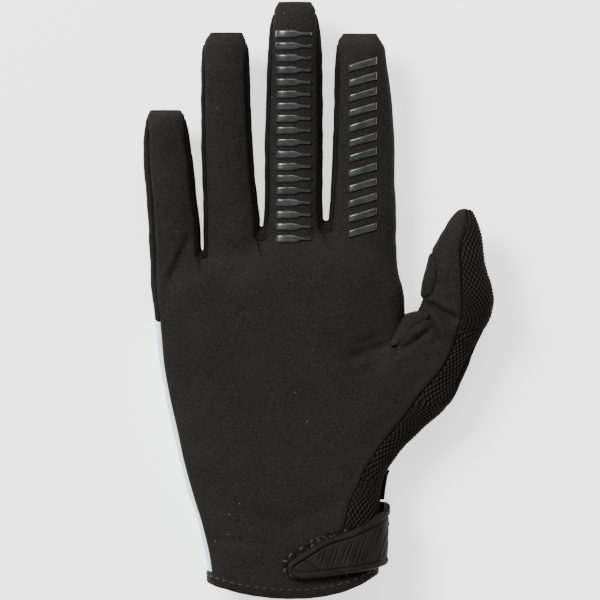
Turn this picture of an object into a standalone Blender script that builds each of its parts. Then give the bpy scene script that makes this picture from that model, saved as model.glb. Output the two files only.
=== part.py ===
"""Motocross glove for the right hand, lying on its back with the palm up.

The fingers point along +Y, the thumb lies on the +X side and +Z is the palm side. Every panel is a
thin sheet laid on one of a few soft tubes: the hand, the thumb with its mound, and the four fingers.
A tube's section is a squared ellipse, so a panel is a range of section angles over a range of Y.
"""

import bpy
import numpy as np

MM = 0.001

# Walls and clearances
WALL = 1.2 * MM
SEAM_GAP = 0.34 * MM
TRIM_LIMIT = 0.3
REST_GAP = 0.4 * MM

# Hand
HAND_LENGTH = 121.5 * MM
PALM_WIDTH = 93.4 * MM
PALM_HALF_DEPTH = 12.5 * MM
PALM_MID_HEIGHT = 12.2 * MM
HAND_SQUARENESS = 3.0

# Fingers
FINGER_HALF_DEPTH = 8.6 * MM
FINGER_MID_HEIGHT = 10.4 * MM
FINGER_CURL = 5.0 * MM
FINGER_SQUARENESS = 2.35
LITTLE_LENGTH = 53.3 * MM
RING_LENGTH = 78.9 * MM
MIDDLE_LENGTH = 85.5 * MM
INDEX_LENGTH = 72.9 * MM
LITTLE_WIDTH = 19.5 * MM
RING_WIDTH = 20.3 * MM
MIDDLE_WIDTH = 21.8 * MM
INDEX_WIDTH = 24.0 * MM
FOURCHETTE_INSET = 1.6 * MM
LITTLE_WRAP = 2.3 * MM
INDEX_WRAP = 2.6 * MM
CROTCH_DROP = 1.6 * MM
STRIP_TURN = 62.0
STRIP_SINK = 0.84 * MM

# Thumb
THUMB_LENGTH = 51.0 * MM
THUMB_OUT = 35.6 * MM
THUMB_HALF_DEPTH = 11.0 * MM
THUMB_LIFT = 7.0 * MM
THUMB_SQUARENESS = 2.5
THUMB_SPLIT = 85.9 * MM
MESH_WIDTH = 12.0 * MM
GUSSET_WIDTH = 3.1 * MM
WEB_BULGE = 1.2 * MM
WEB_DIP = 1.6 * MM
WEB_CLEARANCE = 0.5 * MM

# Cuff and strap
CUFF_DROP = 5.2 * MM
CUFF_RISE = 3.2 * MM
CUFF_RISE_POWER = 3
CUFF_EDGE = 2.2 * MM
BINDING_HEIGHT = 4.8 * MM
BINDING_OUTSET = 0.7 * MM
BINDING_THICKNESS = 2.3 * MM
TAPE_THICKNESS = 0.7 * MM
TAPE_MARGIN = 1.4 * MM
TAPE_LOW = 0.2
TAPE_END = 12.0 * MM
STRAP_THICKNESS = 1.8 * MM
STRAP_WIDTH = 21.0 * MM
STRAP_REACH = 35.5 * MM
STRAP_TIP_X = 5.4 * MM
STRAP_TIP_UP = 1.2 * MM
STRAP_ROOT = 22.0 * MM
STRAP_CROWDING = 1.15
STRAP_UNDER = 1.5
TAB_THICKNESS = 1.1 * MM
TAB_LENGTH = 11.0 * MM
TAB_UP = 25.6 * MM
TAB_WIDTH = 11.0 * MM
TAB_EDGE = 0.02 * MM
TAB_CLEARANCE = 0.95 * MM

# Grip prints
GRIP_THICKNESS = 0.6 * MM
MIDDLE_GRIPS = 18
MIDDLE_GRIP_PITCH = 4.48 * MM
MIDDLE_GRIP_WIDTH = 13.9 * MM
MIDDLE_GRIP_HEIGHT = 3.0 * MM
MIDDLE_GRIP_FIRST = -2.6 * MM
INDEX_GRIPS = 12
INDEX_GRIP_PITCH = 5.6 * MM
INDEX_GRIP_WIDTH = 11.0 * MM
INDEX_GRIP_HEIGHT = 2.9 * MM
INDEX_GRIP_SLANT = 3.2 * MM
INDEX_GRIP_FIRST = -0.2 * MM

# Folds and dents
FOLD_HALF_WIDTH = 5.0 * MM
FOLD_DEPTH = 1.6 * MM

# Mesh density of the solids
FINGER_CELLS = 6
CROTCH_CELLS = 2
THUMB_CELLS = 5
DENSE_ROWS = 40
DENSE_FAN = 120
STRAP_CELLS = (18, 4)
TAPE_CELLS = (9, 4)
TAB_CELLS = (5, 4)
RING_STEPS = 36
STRIP_CELLS = 4

# Sections of the hand from the cuff to the knuckle line: left and right as shares of the palm
# width from the hand's centre line, mid as a share of the mid height, depths as shares of the
# half depth, and the inset of the little finger side's seam as a share of the wrap
HAND_COLUMNS = ("along", "left", "right", "mid", "top", "bottom", "seam")
HAND_ROWS = (
    (0.000, -0.257, 0.412, 1.38, 1.02, 1.02, 0.45),
    (0.056, -0.268, 0.422, 1.36, 1.03, 1.01, 0.50),
    (0.154, -0.300, 0.429, 1.29, 1.03, 0.96, 0.60),
    (0.253, -0.341, 0.432, 1.19, 1.03, 0.95, 0.65),
    (0.352, -0.377, 0.460, 1.10, 1.03, 0.97, 0.65),
    (0.451, -0.405, 0.480, 1.04, 1.02, 1.00, 0.65),
    (0.549, -0.434, 0.496, 1.01, 1.00, 1.02, 0.65),
    (0.648, -0.457, 0.508, 1.00, 1.00, 1.03, 0.65),
    (0.747, -0.469, 0.520, 1.00, 1.00, 1.03, 0.65),
    (0.846, -0.484, 0.524, 1.00, 0.98, 1.03, 0.80),
    (0.944, -0.496, 0.504, 0.98, 0.92, 0.98, 1.00),
    (1.000, -0.500, 0.500, 0.96, 0.86, 0.93, 1.00),
)

# Sections of the thumb and its mound: along is nought at the cuff, one at the thumb's crotch and
# two at its tip. How far left and right
# stand out from the palm's own side as shares of the thumb's reach beyond it, depth and lift as
# shares of their sizes, the width of mesh on the palm side as a share of the mesh width, and where
# the mesh ends at the back as the same share, below zero underneath
THUMB_COLUMNS = ("along", "left", "right", "depth", "lift", "mesh", "mesh_end")
THUMB_ROWS = (
    (0.0000, -0.408, -0.001, 0.30, 0.00, 1.12, -0.30),
    (0.1482, -0.454, -0.006, 0.45, 0.00, 1.16, -0.30),
    (0.3235, -0.507, -0.012, 0.62, 0.00, 0.94, -0.30),
    (0.4271, -0.568, -0.011, 0.75, 0.00, 0.69, -0.30),
    (0.4972, -0.629, 0.051, 0.82, 0.00, 0.72, -0.28),
    (0.5674, -0.660, 0.163, 0.90, 0.00, 0.81, -0.25),
    (0.6375, -0.665, 0.315, 0.96, 0.00, 0.91, -0.20),
    (0.7076, -0.623, 0.482, 1.02, 0.00, 1.08, -0.05),
    (0.7777, -0.560, 0.610, 1.08, 0.00, 1.16, 0.10),
    (0.8479, -0.481, 0.668, 1.10, 0.00, 0.94, 0.18),
    (0.9164, -0.380, 0.727, 1.12, 0.00, 0.78, 0.16),
    (0.9865, -0.229, 0.772, 1.14, 0.00, 0.72, 0.10),
    (1.0954, -0.053, 0.832, 1.12, 0.15, 0.80, 0.02),
    (1.2135, 0.120, 0.908, 1.08, 0.34, 0.92, -0.12),
    (1.3316, 0.179, 0.937, 1.05, 0.52, 1.01, -0.25),
    (1.4497, 0.223, 0.928, 1.02, 0.66, 0.94, -0.30),
    (1.5651, 0.294, 0.906, 0.98, 0.78, 0.80, -0.30),
    (1.6833, 0.347, 0.883, 0.90, 0.87, 0.73, -0.25),
    (1.8014, 0.431, 0.864, 0.76, 0.94, 0.56, -0.20),
    (1.8604, 0.484, 0.843, 0.65, 0.97, 0.46, -0.15),
    (1.9195, 0.538, 0.810, 0.50, 0.99, 0.34, -0.08),
    (1.9785, 0.609, 0.769, 0.28, 1.00, 0.19, -0.02),
    (2.0000, 0.642, 0.748, 0.18, 1.00, 0.13, 0.00),
)

# Sections of each finger from its crotch to its tip: lean as a share of the finger's length,
# width as a share of its width
FINGER_COLUMNS = ("along", "lean", "width")
LITTLE_ROWS = (
    (0.000, 0.000, 1.000), (0.200, -0.011, 1.000), (0.410, -0.030, 0.970), (0.630, -0.049, 0.965),
    (0.750, -0.060, 0.920), (0.860, -0.064, 0.865), (0.915, -0.065, 0.800), (0.970, -0.066, 0.710),
    (1.000, -0.069, 0.606),
)
RING_ROWS = (
    (0.000, 0.000, 1.070), (0.157, -0.005, 1.037), (0.309, -0.016, 0.985), (0.461, -0.024, 0.963),
    (0.651, -0.029, 0.926), (0.803, -0.031, 0.907), (0.917, -0.031, 0.870), (0.955, -0.031, 0.796),
    (0.983, -0.030, 0.694), (1.000, -0.027, 0.611),
)
MIDDLE_ROWS = (
    (0.000, 0.000, 1.086), (0.088, 0.000, 1.010), (0.228, 0.001, 1.000), (0.368, 0.001, 1.010),
    (0.544, 0.003, 0.983), (0.684, 0.005, 0.966), (0.825, 0.006, 0.914), (0.895, 0.006, 0.862),
    (0.956, 0.006, 0.741), (0.987, 0.006, 0.655), (1.000, 0.006, 0.586),
)
INDEX_ROWS = (
    (0.000, 0.000, 1.078), (0.093, 0.003, 1.047), (0.257, 0.006, 1.000), (0.422, 0.008, 0.969),
    (0.627, 0.006, 0.922), (0.792, -0.002, 0.859), (0.915, -0.009, 0.766), (0.956, -0.013, 0.703),
    (0.982, -0.015, 0.625), (1.000, -0.013, 0.547),
)

# Each finger's centre as a share of the palm width, its height over the knuckle line as a share
# of its own length, and what its left and right edges are
FINGERS = {
    "little": (LITTLE_LENGTH, LITTLE_WIDTH, LITTLE_ROWS, -0.3930, -0.028, "wrap", "side"),
    "ring": (RING_LENGTH, RING_WIDTH, RING_ROWS, -0.1662, 0.024, "side", "side"),
    "middle": (MIDDLE_LENGTH, MIDDLE_WIDTH, MIDDLE_ROWS, 0.0803, 0.079, "side", "side"),
    "index": (INDEX_LENGTH, INDEX_WIDTH, INDEX_ROWS, 0.3553, 0.103, "side", "under"),
}
# Depth of a finger along its length as a share of its half depth
FINGER_DEPTH = (
    (0.0, 1.0), (0.5, 1.0), (0.80, 0.96), (0.90, 0.84), (0.95, 0.66), (0.98, 0.43), (1.0, 0.19),
)
# How much of a seam's inset is left along a finger: the side strips end in a point near the tip
SEAM_FADE = ((0.0, 1.0), (0.88, 1.0), (0.955, 0.12), (0.97, 0.0), (1.0, 0.0))

# Each crotch: the fingers on its two sides, and as shares of the palm width how high the strips
# start over the knuckle line and how far the open gap ends above that
CROTCHES = (
    ("little", "ring", -0.016, 0.020),
    ("ring", "middle", 0.056, 0.046),
    ("middle", "index", 0.088, 0.043),
)
OUTER_CROTCH = {"little": -0.016, "index": 0.072}

# Edge of the palm panel and of the back panels beside the thumb's crotch, from the crotch up to
# the index finger, as shares of the wrap: above zero on the palm side, below zero underneath
PALM_EDGE = (
    (0.0, 1.30), (0.126, 0.45), (0.252, 0.0), (0.40, -0.30), (0.55, -0.60), (0.70, -0.85), (1.0, -1.0),
)
# Inner edge of the thumb's front from the crotch to the tip, as shares of the gusset's width
THUMB_EDGE = (
    (0.0, 1.15), (0.125, 1.40), (0.25, 0.0), (0.34, 0.15), (0.46, 1.0), (0.58, 0.62), (0.68, 0.0),
    (0.78, -0.5), (0.88, -0.6), (0.95, -0.15), (1.0, 0.0),
)
# Seam between the pale back and the thumb's back, from the cuff to the thumb's crotch
BACK_SEAM = ((0.0, 0.347), (0.3, 0.379), (0.6, 0.448), (1.0, 0.480))

# Folds and dents of the palm side: both ends in plan as shares of the palm width (across) and of
# the hand's length (along, from the knuckle line), with half width and depth as shares of their sizes
FOLD_COLUMNS = ("x_from", "y_from", "x_to", "y_to", "width", "depth")
FOLDS = (
    (-0.345, -0.030, -0.440, -0.105, 1.0, 1.0),
    (0.470, -0.285, 0.290, -0.330, 1.0, 0.8),
    (0.600, -0.148, 0.712, -0.204, 0.7, 0.7),
    (0.608, -0.213, 0.644, -0.296, 0.7, 0.6),
    (-0.080, -0.040, -0.020, -0.190, 1.4, 0.35),
    (0.120, -0.030, 0.180, -0.200, 1.3, 0.35),
)

# Rows of cells shared by all panels that meet along them
CUFF_TO_SPLIT = (0.0, 0.10, 0.21, 0.33, 0.45, 0.57, 0.68, 0.79, 0.90, 1.0)
SPLIT_TO_KNUCKLES = (0.0, 0.126, 0.252, 0.40, 0.55, 0.70, 0.85, 1.0)
BACK_ROW = 2
FINGER_STEPS = (0.0, 0.10, 0.22, 0.38, 0.54, 0.70, 0.82, 0.90, 0.955, 1.0)
THUMB_STEPS = (0.0, 0.125, 0.25, 0.34, 0.46, 0.58, 0.68, 0.78, 0.88, 0.95, 1.0)
SPLIT_LEAN = 0.29
WEB_ROWS = 3
WEB_CELLS = 4
WEB_START = 0.5
POINT_END = 0.6
GUSSET_ROWS = (3, 4, 5, 6)
KNUCKLE_BLEND = 22.0 * MM

# Strap outline from its tip to where it turns round the wrist's side: reach as a share of its
# reach on the palm side, upper and lower edge as shares of its width
STRAP_COLUMNS = ("along", "upper", "lower")
STRAP_ROWS = (
    (0.00, 0.054, -0.010), (0.03, 0.130, -0.090), (0.14, 0.268, -0.160), (0.38, 0.530, -0.125),
    (0.57, 0.640, -0.080), (0.78, 0.796, -0.030), (1.00, 1.000, 0.060), (1.30, 1.030, 0.070),
    (3.00, 1.030, 0.070),
)
# Half height of a grip bar along it, as shares of its width and height
BAR_PROFILE = ((0.0, 0.5), (0.30, 0.5), (0.55, 0.46), (0.72, 0.26), (0.92, 0.20), (1.0, 0.08))


def smooth(stations, values, at):
    """Value at a station: a cubic through the rows that never overshoots them."""
    x = np.asarray(stations, float)
    y = np.asarray(values, float)
    at = np.clip(np.asarray(at, float), x[0], x[-1])
    step = np.diff(x)
    rise = np.diff(y) / step
    slope = np.zeros_like(y)
    same = rise[:-1] * rise[1:] > 0
    total = np.where(same, rise[:-1] + rise[1:], 1.0)
    slope[1:-1] = np.where(same, 2 * rise[:-1] * rise[1:] / total, 0.0)
    slope[0], slope[-1] = rise[0], rise[-1]
    i = np.clip(np.searchsorted(x, at, side="right") - 1, 0, len(step) - 1)
    t = (at - x[i]) / step[i]
    value = y[i] * (1 + 2 * t) * (1 - t) ** 2 + y[i + 1] * t * t * (3 - 2 * t)
    return value + step[i] * (slope[i] * t * (1 - t) ** 2 - slope[i + 1] * t * t * (1 - t))


def of_table(table, at):
    """Value of a two-column table at a share."""
    return smooth([row[0] for row in table], [row[1] for row in table], at)


def column(rows, names, name):
    """One named column of a table's rows."""
    return np.array([row[names.index(name)] for row in rows])


def fold_depth(x, y):
    """Depth of the palm side's folds at a place in plan: soft troughs that fade at their ends."""
    total = np.zeros(np.broadcast(x, y).shape)
    for row in FOLDS:
        fold = dict(zip(FOLD_COLUMNS, row))
        start = np.array([fold["x_from"] * PALM_WIDTH, fold["y_from"] * HAND_LENGTH])
        way = np.array([fold["x_to"] * PALM_WIDTH, fold["y_to"] * HAND_LENGTH]) - start
        length = np.hypot(*way)
        along = ((x - start[0]) * way[0] + (y - start[1]) * way[1]) / length
        across = ((x - start[0]) * way[1] - (y - start[1]) * way[0]) / length
        half = fold["width"] * FOLD_HALF_WIDTH
        past = np.maximum(np.abs(along - length / 2) - length / 2 + half, 0)
        trough = np.exp(-2 * (across / half) ** 2 - (past / half) ** 2)
        total = total + fold["depth"] * FOLD_DEPTH * trough
    return total


class Tube:
    """Soft tube along Y: at each Y its left and right sides, middle height and half depths."""

    def __init__(self, y, left, right, mid, top, bottom, squareness):
        self.y = y
        self.columns = {"left": left, "right": right, "mid": mid, "top": top, "bottom": bottom}
        self.squareness = squareness

    def get(self, name, y):
        return smooth(self.y, self.columns[name], y)

    def depth(self, x, y, inset, above):
        """Height of the tube over or under its middle at x: a squared half ellipse."""
        left = self.get("left", y) + inset
        right = self.get("right", y) - inset
        half = (right - left) / 2
        share = np.clip(np.abs((x - (left + right) / 2) / half), 0, 1)
        full = np.where(above, self.get("top", y), self.get("bottom", y)) - inset
        return np.maximum(full, 0) * (1 - share**self.squareness) ** (1 / self.squareness)


class Span:
    """One or two tubes side by side under one skin, which is the smooth union of them."""

    def __init__(self, tubes, first, last, squareness):
        self.tubes = tubes
        self.first = first
        self.last = last
        self.squareness = squareness

    def sides(self, y, inset):
        return self.first.get("left", y) + inset, self.last.get("right", y) - inset

    def point(self, y, angle, inset):
        """Point of the skin at a section angle: 0 right, a quarter turn up, a half turn left."""
        left, right = self.sides(y, inset)
        cosine = np.cos(angle)
        x = (left + right) / 2
        x = x + (right - left) / 2 * np.sign(cosine) * np.abs(cosine) ** (2 / self.squareness)
        above = np.sin(angle) >= 0
        power = 2 * HAND_SQUARENESS
        total = sum(tube.depth(x, y, inset, above) ** power for tube in self.tubes)
        height = total ** (1 / power)
        crown = height / self.last.get("top", y)
        height = height - np.where(above, fold_depth(x, y) * np.clip(2 * crown - 1, 0, 1), 0)
        z = self.last.get("mid", y) + np.where(above, 1, -1) * height
        return np.stack(np.broadcast_arrays(x, y, np.maximum(z, inset)), axis=-1)

    def edge(self, y, inset, on_left):
        """Section angle of the edge at a signed inset from a side: below zero underneath."""
        left, right = self.sides(y, 0.0)
        share = np.clip(1 - np.abs(inset) / ((right - left) / 2), -1, 1)
        angle = np.arccos(np.sign(share) * np.abs(share) ** (self.squareness / 2))
        angle = np.sign(inset) * angle
        return np.pi - angle if on_left else angle


SPLIT_Y = THUMB_SPLIT - HAND_LENGTH
THUMB_TIP_Y = SPLIT_Y + THUMB_LENGTH


def make_hand():
    along = column(HAND_ROWS, HAND_COLUMNS, "along")
    return Tube(
        (along - 1) * HAND_LENGTH,
        column(HAND_ROWS, HAND_COLUMNS, "left") * PALM_WIDTH,
        column(HAND_ROWS, HAND_COLUMNS, "right") * PALM_WIDTH,
        column(HAND_ROWS, HAND_COLUMNS, "mid") * PALM_MID_HEIGHT,
        column(HAND_ROWS, HAND_COLUMNS, "top") * PALM_HALF_DEPTH,
        column(HAND_ROWS, HAND_COLUMNS, "bottom") * PALM_HALF_DEPTH,
        HAND_SQUARENESS,
    )


def make_thumb(hand):
    along = column(THUMB_ROWS, THUMB_COLUMNS, "along")
    y = np.interp(along, (0, 1, 2), (-HAND_LENGTH, SPLIT_Y, THUMB_TIP_Y))
    side = hand.get("right", y)
    lift = column(THUMB_ROWS, THUMB_COLUMNS, "lift") * THUMB_LIFT
    depth = column(THUMB_ROWS, THUMB_COLUMNS, "depth") * THUMB_HALF_DEPTH
    return Tube(
        y,
        side + column(THUMB_ROWS, THUMB_COLUMNS, "left") * THUMB_OUT,
        side + column(THUMB_ROWS, THUMB_COLUMNS, "right") * THUMB_OUT,
        hand.get("mid", y) + lift,
        depth,
        depth,
        THUMB_SQUARENESS,
    )


def make_finger(name):
    length, width, rows, centre, base, _, _ = FINGERS[name]
    along = np.linspace(0, 1, 41)
    middle = PALM_WIDTH * centre + length * smooth(column(rows, FINGER_COLUMNS, "along"),
                                                   column(rows, FINGER_COLUMNS, "lean"), along)
    half = width / 2 * smooth(column(rows, FINGER_COLUMNS, "along"),
                              column(rows, FINGER_COLUMNS, "width"), along)
    depth = FINGER_HALF_DEPTH * of_table(FINGER_DEPTH, along)
    mid = FINGER_MID_HEIGHT + FINGER_CURL * along**2
    return Tube(length * (base + along), middle - half, middle + half, mid, depth, depth,
                FINGER_SQUARENESS)


HAND = make_hand()
THUMB = make_thumb(HAND)
DIGITS = {name: make_finger(name) for name in FINGERS}
LOWER = Span((HAND, THUMB), HAND, THUMB, HAND_SQUARENESS)
UPPER = Span((HAND, THUMB), HAND, HAND, HAND_SQUARENESS)
THUMB_SPAN = Span((THUMB,), THUMB, THUMB, THUMB_SQUARENESS)
FINGER_SPANS = {name: Span((tube,), tube, tube, FINGER_SQUARENESS) for name, tube in DIGITS.items()}
CUFF_Y = CUFF_EDGE - HAND_LENGTH


class Patch:
    """Grid of points on a span, between two edges given as functions of Y."""

    def __init__(self, span, y_grid, start, stop, shares, trim=SEAM_GAP / 2):
        """Places the columns by their share of the length of skin from start to stop, at every Y
        of a dense set, and reads each column at its own Y."""
        self.span = span
        self.y = np.asarray(y_grid, float)
        ys = np.linspace(self.y.min() - MM, self.y.max() + MM, DENSE_ROWS)
        first, last = start(ys), stop(ys)
        fan = first[:, None] + (last - first)[:, None] * np.linspace(0, 1, DENSE_FAN)
        points = span.point(ys[:, None], fan, 0.0)
        steps = np.linalg.norm(np.diff(points[..., [0, 2]], axis=1), axis=2)
        arc = np.concatenate([np.zeros((len(ys), 1)), np.cumsum(steps, axis=1)], axis=1)
        cut = np.minimum(trim, arc[:, -1] / 4)
        wanted = cut[:, None] + (arc[:, -1] - 2 * cut)[:, None] * np.asarray(shares)
        dense = np.stack([np.interp(wanted[i], arc[i], fan[i]) for i in range(len(ys))])
        self.angle = np.stack(
            [np.interp(self.y[:, j], ys, dense[:, j]) for j in range(self.y.shape[1])], axis=1
        )

    def points(self, inset):
        return self.span.point(self.y, self.angle, inset)

    def layers(self, outset=0.0, thickness=WALL):
        return [self.points(-outset), self.points(thickness - outset)]


def rows_between(low, high, shares):
    """Grid of Y: each column runs from its low to its high value by the shares."""
    return low + np.asarray(shares)[:, None] * (high - low)


def left_edge(y):
    """Seam between palm and back on the little finger's side of the hand."""
    share = smooth(HAND.y, column(HAND_ROWS, HAND_COLUMNS, "seam"), y)
    return LITTLE_WRAP * share


def thumb_column(name, y):
    return smooth(THUMB.y, column(THUMB_ROWS, THUMB_COLUMNS, name), y) * MESH_WIDTH


def split_x():
    """Where the thumb's crotch parts the palm panel."""
    share = of_table(PALM_EDGE, 0.0)
    return HAND.get("right", SPLIT_Y) - INDEX_WRAP * share


def low_split_x(y):
    """Line in the palm panel below the crotch, on which the thumb's columns start."""
    share = (y - CUFF_Y) / (SPLIT_Y - CUFF_Y)
    return split_x() - (1 - np.clip(share, 0, 1)) * SPLIT_LEAN * PALM_WIDTH


def edge_on(span, inset_at, on_left=False):
    return lambda y: span.edge(y, inset_at(y), on_left)


def line_on(span, x_at, above=True):
    """Edge along a line given by x, on the palm side or underneath."""
    sign = 1 if above else -1
    return lambda y: span.edge(y, sign * (span.sides(y, 0.0)[1] - x_at(y)), False)


def around(angle_at):
    """The same edge, counted from the left side round underneath."""
    return lambda y: angle_at(y) + 2 * np.pi


def finger_edge(name, which, palm_side):
    """Edge of a finger's palm or back sheet: along a side strip, or a shared wrapped seam."""
    length, _, _, _, base, left, right = FINGERS[name]
    kind = left if which == "left" else right
    sign = 1 if palm_side else -1
    full = {"side": sign * FOURCHETTE_INSET, "wrap": LITTLE_WRAP, "under": -INDEX_WRAP}[kind]
    span = FINGER_SPANS[name]

    def angle(y):
        along = y / length - base
        return span.edge(y, full * of_table(SEAM_FADE, along), which == "left")

    return angle


def crotch_y(name, which):
    """Y at which a finger's sheet leaves the crotch on its left or right side."""
    for left, right, base, _ in CROTCHES:
        if (left, which) == (name, "right") or (right, which) == (name, "left"):
            return base * PALM_WIDTH
    return OUTER_CROTCH[name] * PALM_WIDTH


def lobe(name, palm_side, cells, steps):
    """Sheet of one finger, from the crotch line to its tip, left to right."""
    length, _, _, _, base, _, _ = FINGERS[name]
    shares = np.linspace(0, 1, cells + 1)
    low = crotch_y(name, "left") + (crotch_y(name, "right") - crotch_y(name, "left")) * shares
    y = rows_between(low, np.full(cells + 1, length * (base + 1)), steps)
    start = finger_edge(name, "left", palm_side)
    stop = finger_edge(name, "right", palm_side)
    return Patch(FINGER_SPANS[name], y, start, stop if palm_side else around(stop), shares)


def crotch_row(left_end, right_start, base, cells, drop):
    """Points round a crotch from one finger's edge to the next: half an ellipse in plan."""
    turn = np.linspace(0, np.pi, cells + 1)[1:-1]
    middle = (left_end + right_start) / 2
    half = (right_start - left_end) / 2
    row = middle - np.cos(turn)[:, None] * half
    row[:, 1] = base - drop * np.sin(turn)
    return row


def knuckle_row(palm_side, cells, crotch_cells, steps):
    """The finger sheets' first rows, joined round the crotches, for each layer."""
    lobes = [lobe(name, palm_side, cells, steps) for name in FINGERS]
    layers = []
    for depth, points in enumerate(zip(*[patch.layers() for patch in lobes])):
        row = [points[0][0]]
        for i, (_, _, base, _) in enumerate(CROTCHES):
            drop = CROTCH_DROP + SEAM_GAP / 2 + depth * WALL / 2
            row.append(crotch_row(points[i][0][-1], points[i + 1][0][0], base * PALM_WIDTH,
                                  crotch_cells, drop))
            row.append(points[i + 1][0])
        layers.append(np.concatenate(row))
    return lobes, layers


def knuckle_shares(row):
    """Share of each point of the knuckle row, by length in plan and half its rise and fall."""
    step = np.diff(row[:, [0, 2]], axis=0) * (1.0, 0.5)
    length = np.concatenate([[0.0], np.cumsum(np.linalg.norm(step, axis=1))])
    return length / length[-1]


def hand_block(palm_side, knuckles, steps):
    """Rows from the thumb's crotch to the knuckles, bent into the fingers' first rows."""
    y = rows_between(np.full(len(knuckles[0]), SPLIT_Y), knuckles[0][:, 1], steps)
    share = knuckle_shares(knuckles[0])
    high = OUTER_CROTCH["index"] * PALM_WIDTH
    sign = 1 if palm_side else -1

    def right_inset(at):
        part = of_table(PALM_EDGE, (at - SPLIT_Y) / (high - SPLIT_Y))
        return INDEX_WRAP * (part if palm_side else np.minimum(part, sign * part))

    start = edge_on(UPPER, left_edge, on_left=True)
    stop = edge_on(UPPER, right_inset)
    patch = Patch(UPPER, y, start, stop if palm_side else around(stop), share)
    near = np.clip((y - knuckles[0][:, 1] + KNUCKLE_BLEND) / KNUCKLE_BLEND, 0, 1)
    near = (near**2 * (3 - 2 * near))[..., None]
    blocks = []
    for flat, row in zip(patch.layers(), knuckles):
        bent = (1 - near) * flat + near * row
        bent[..., 1] = y
        bent[-1] = row
        blocks.append(bent)
    return blocks


def cuff_line(x, above):
    """Y of the panels' lower edge: level at the back, dipping over the palm side."""
    left, right = LOWER.sides(CUFF_Y, 0.0)
    share = np.clip((2 * x - left - right) / (right - left), -1, 1)
    level = CUFF_Y + CUFF_RISE * np.clip(share, 0, 1) ** CUFF_RISE_POWER
    return level - np.where(above, CUFF_DROP * (1 - share**2), 0.0)


def lower_patch(start, stop, shares, trim=SEAM_GAP / 2):
    """Rows from the cuff to the thumb's crotch, with the lower edge on the cuff line."""
    level = np.full((2, len(shares)), CUFF_Y)
    level[1] += MM
    first = Patch(LOWER, level, start, stop, shares, trim)
    low = cuff_line(first.points(0.0)[0, :, 0], np.sin(first.angle[0]) >= 0)
    y = rows_between(low, np.full(len(low), SPLIT_Y), CUFF_TO_SPLIT)
    return Patch(LOWER, y, start, stop, shares, trim)


def sheet_mesh(name, blocks):
    """Closed solid of a thin sheet: its outer and inner grids, joined by a rim at every edge.

    Points that two grids share are found by their place, and the rim stands on the edges that
    belong to one face only. The faces are turned so that the outer grid looks away from the inner.
    """
    outer = np.concatenate([block[0].reshape(-1, 3) for block in blocks])
    inner = np.concatenate([block[1].reshape(-1, 3) for block in blocks])
    faces = []
    start = 0
    for block in blocks:
        rows, cols = block[0].shape[:2]
        index = start + np.arange(rows * cols).reshape(rows, cols)
        faces.append(np.stack([index[:-1, :-1], index[:-1, 1:], index[1:, 1:], index[1:, :-1]], -1))
        start += rows * cols
    faces = np.concatenate([face.reshape(-1, 4) for face in faces])
    _, first, same = np.unique(np.round(outer / (0.01 * MM)), axis=0, return_index=True,
                               return_inverse=True)
    outer, inner = outer[first], inner[first]
    faces = same.reshape(-1)[faces]
    corner = outer[faces]
    normal = np.cross(corner[:, 2] - corner[:, 0], corner[:, 3] - corner[:, 1])
    if np.sum(normal * (outer - inner)[faces[:, 0]]) < 0:
        faces = faces[:, ::-1]
    return solid_mesh(name, outer, inner, faces)


def solid_mesh(name, outer, inner, faces):
    """Joins an outer and an inner sheet with the same faces into one closed mesh."""
    count = len(outer)
    edges = np.concatenate([faces[:, [i, (i + 1) % 4]] for i in range(4)])
    key = edges[:, 0] * count + edges[:, 1]
    back = edges[:, 1] * count + edges[:, 0]
    rim = edges[~np.isin(key, back)]
    walls = np.stack([rim[:, 1], rim[:, 0], rim[:, 0] + count, rim[:, 1] + count], -1)
    all_faces = np.concatenate([faces, faces[:, ::-1] + count, walls])
    mesh = bpy.data.meshes.new(name)
    mesh.from_pydata(np.concatenate([outer, inner]).tolist(), [], all_faces.tolist())
    mesh.validate()
    mesh.update()
    return mesh


def add_piece(name, mesh, material):
    obj = bpy.data.objects.new(name, mesh)
    bpy.context.scene.collection.objects.link(obj)
    mesh.materials.append(material)
    mesh.shade_smooth()
    mesh.set_sharp_from_angle(angle=np.radians(40))
    return obj


def material(name, colour, roughness):
    made = bpy.data.materials.new(name)
    made.use_nodes = True
    shader = made.node_tree.nodes["Principled BSDF"]
    shader.inputs["Base Color"].default_value = (*colour, 1.0)
    shader.inputs["Roughness"].default_value = roughness
    shader.inputs["Metallic"].default_value = 0.0
    return made


def palm_panel():
    """Palm, finger fronts and thumb front in one sheet, parted at the crotches."""
    lobes, knuckles = knuckle_row(True, FINGER_CELLS, CROTCH_CELLS, FINGER_STEPS)
    blocks = [patch.layers() for patch in lobes]
    blocks.append(hand_block(True, knuckles, SPLIT_TO_KNUCKLES))
    share = knuckle_shares(knuckles[0])
    start = edge_on(LOWER, left_edge, on_left=True)
    middle = line_on(LOWER, low_split_x)
    seam = edge_on(LOWER, lambda y: thumb_column("mesh", y))
    palm = lower_patch(start, middle, share)
    mound = lower_patch(middle, seam, np.linspace(0, 1, THUMB_CELLS + 1))
    front = thumb_front_patch(THUMB_CELLS, THUMB_STEPS)
    blocks += joined([palm.layers(), mound.layers()], front.layers(), blocks[-1])
    return sheet_mesh("palm_panel", blocks)


def joined(lower, front, upper):
    """Gives the blocks that meet at the thumb's crotch row the same points there."""
    palm, mound = lower
    for layer in range(2):
        palm[layer][:, -1] = mound[layer][:, 0] = (palm[layer][:, -1] + mound[layer][:, 0]) / 2
        palm[layer][-1] = upper[layer][0]
        mound[layer][-1] = front[layer][0]
        corner = (upper[layer][0, -1] + front[layer][0, 0]) / 2
        upper[layer][0, -1] = front[layer][0, 0] = corner
        palm[layer][-1, -1] = mound[layer][-1, 0] = corner
    return [palm, mound, front]


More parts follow.
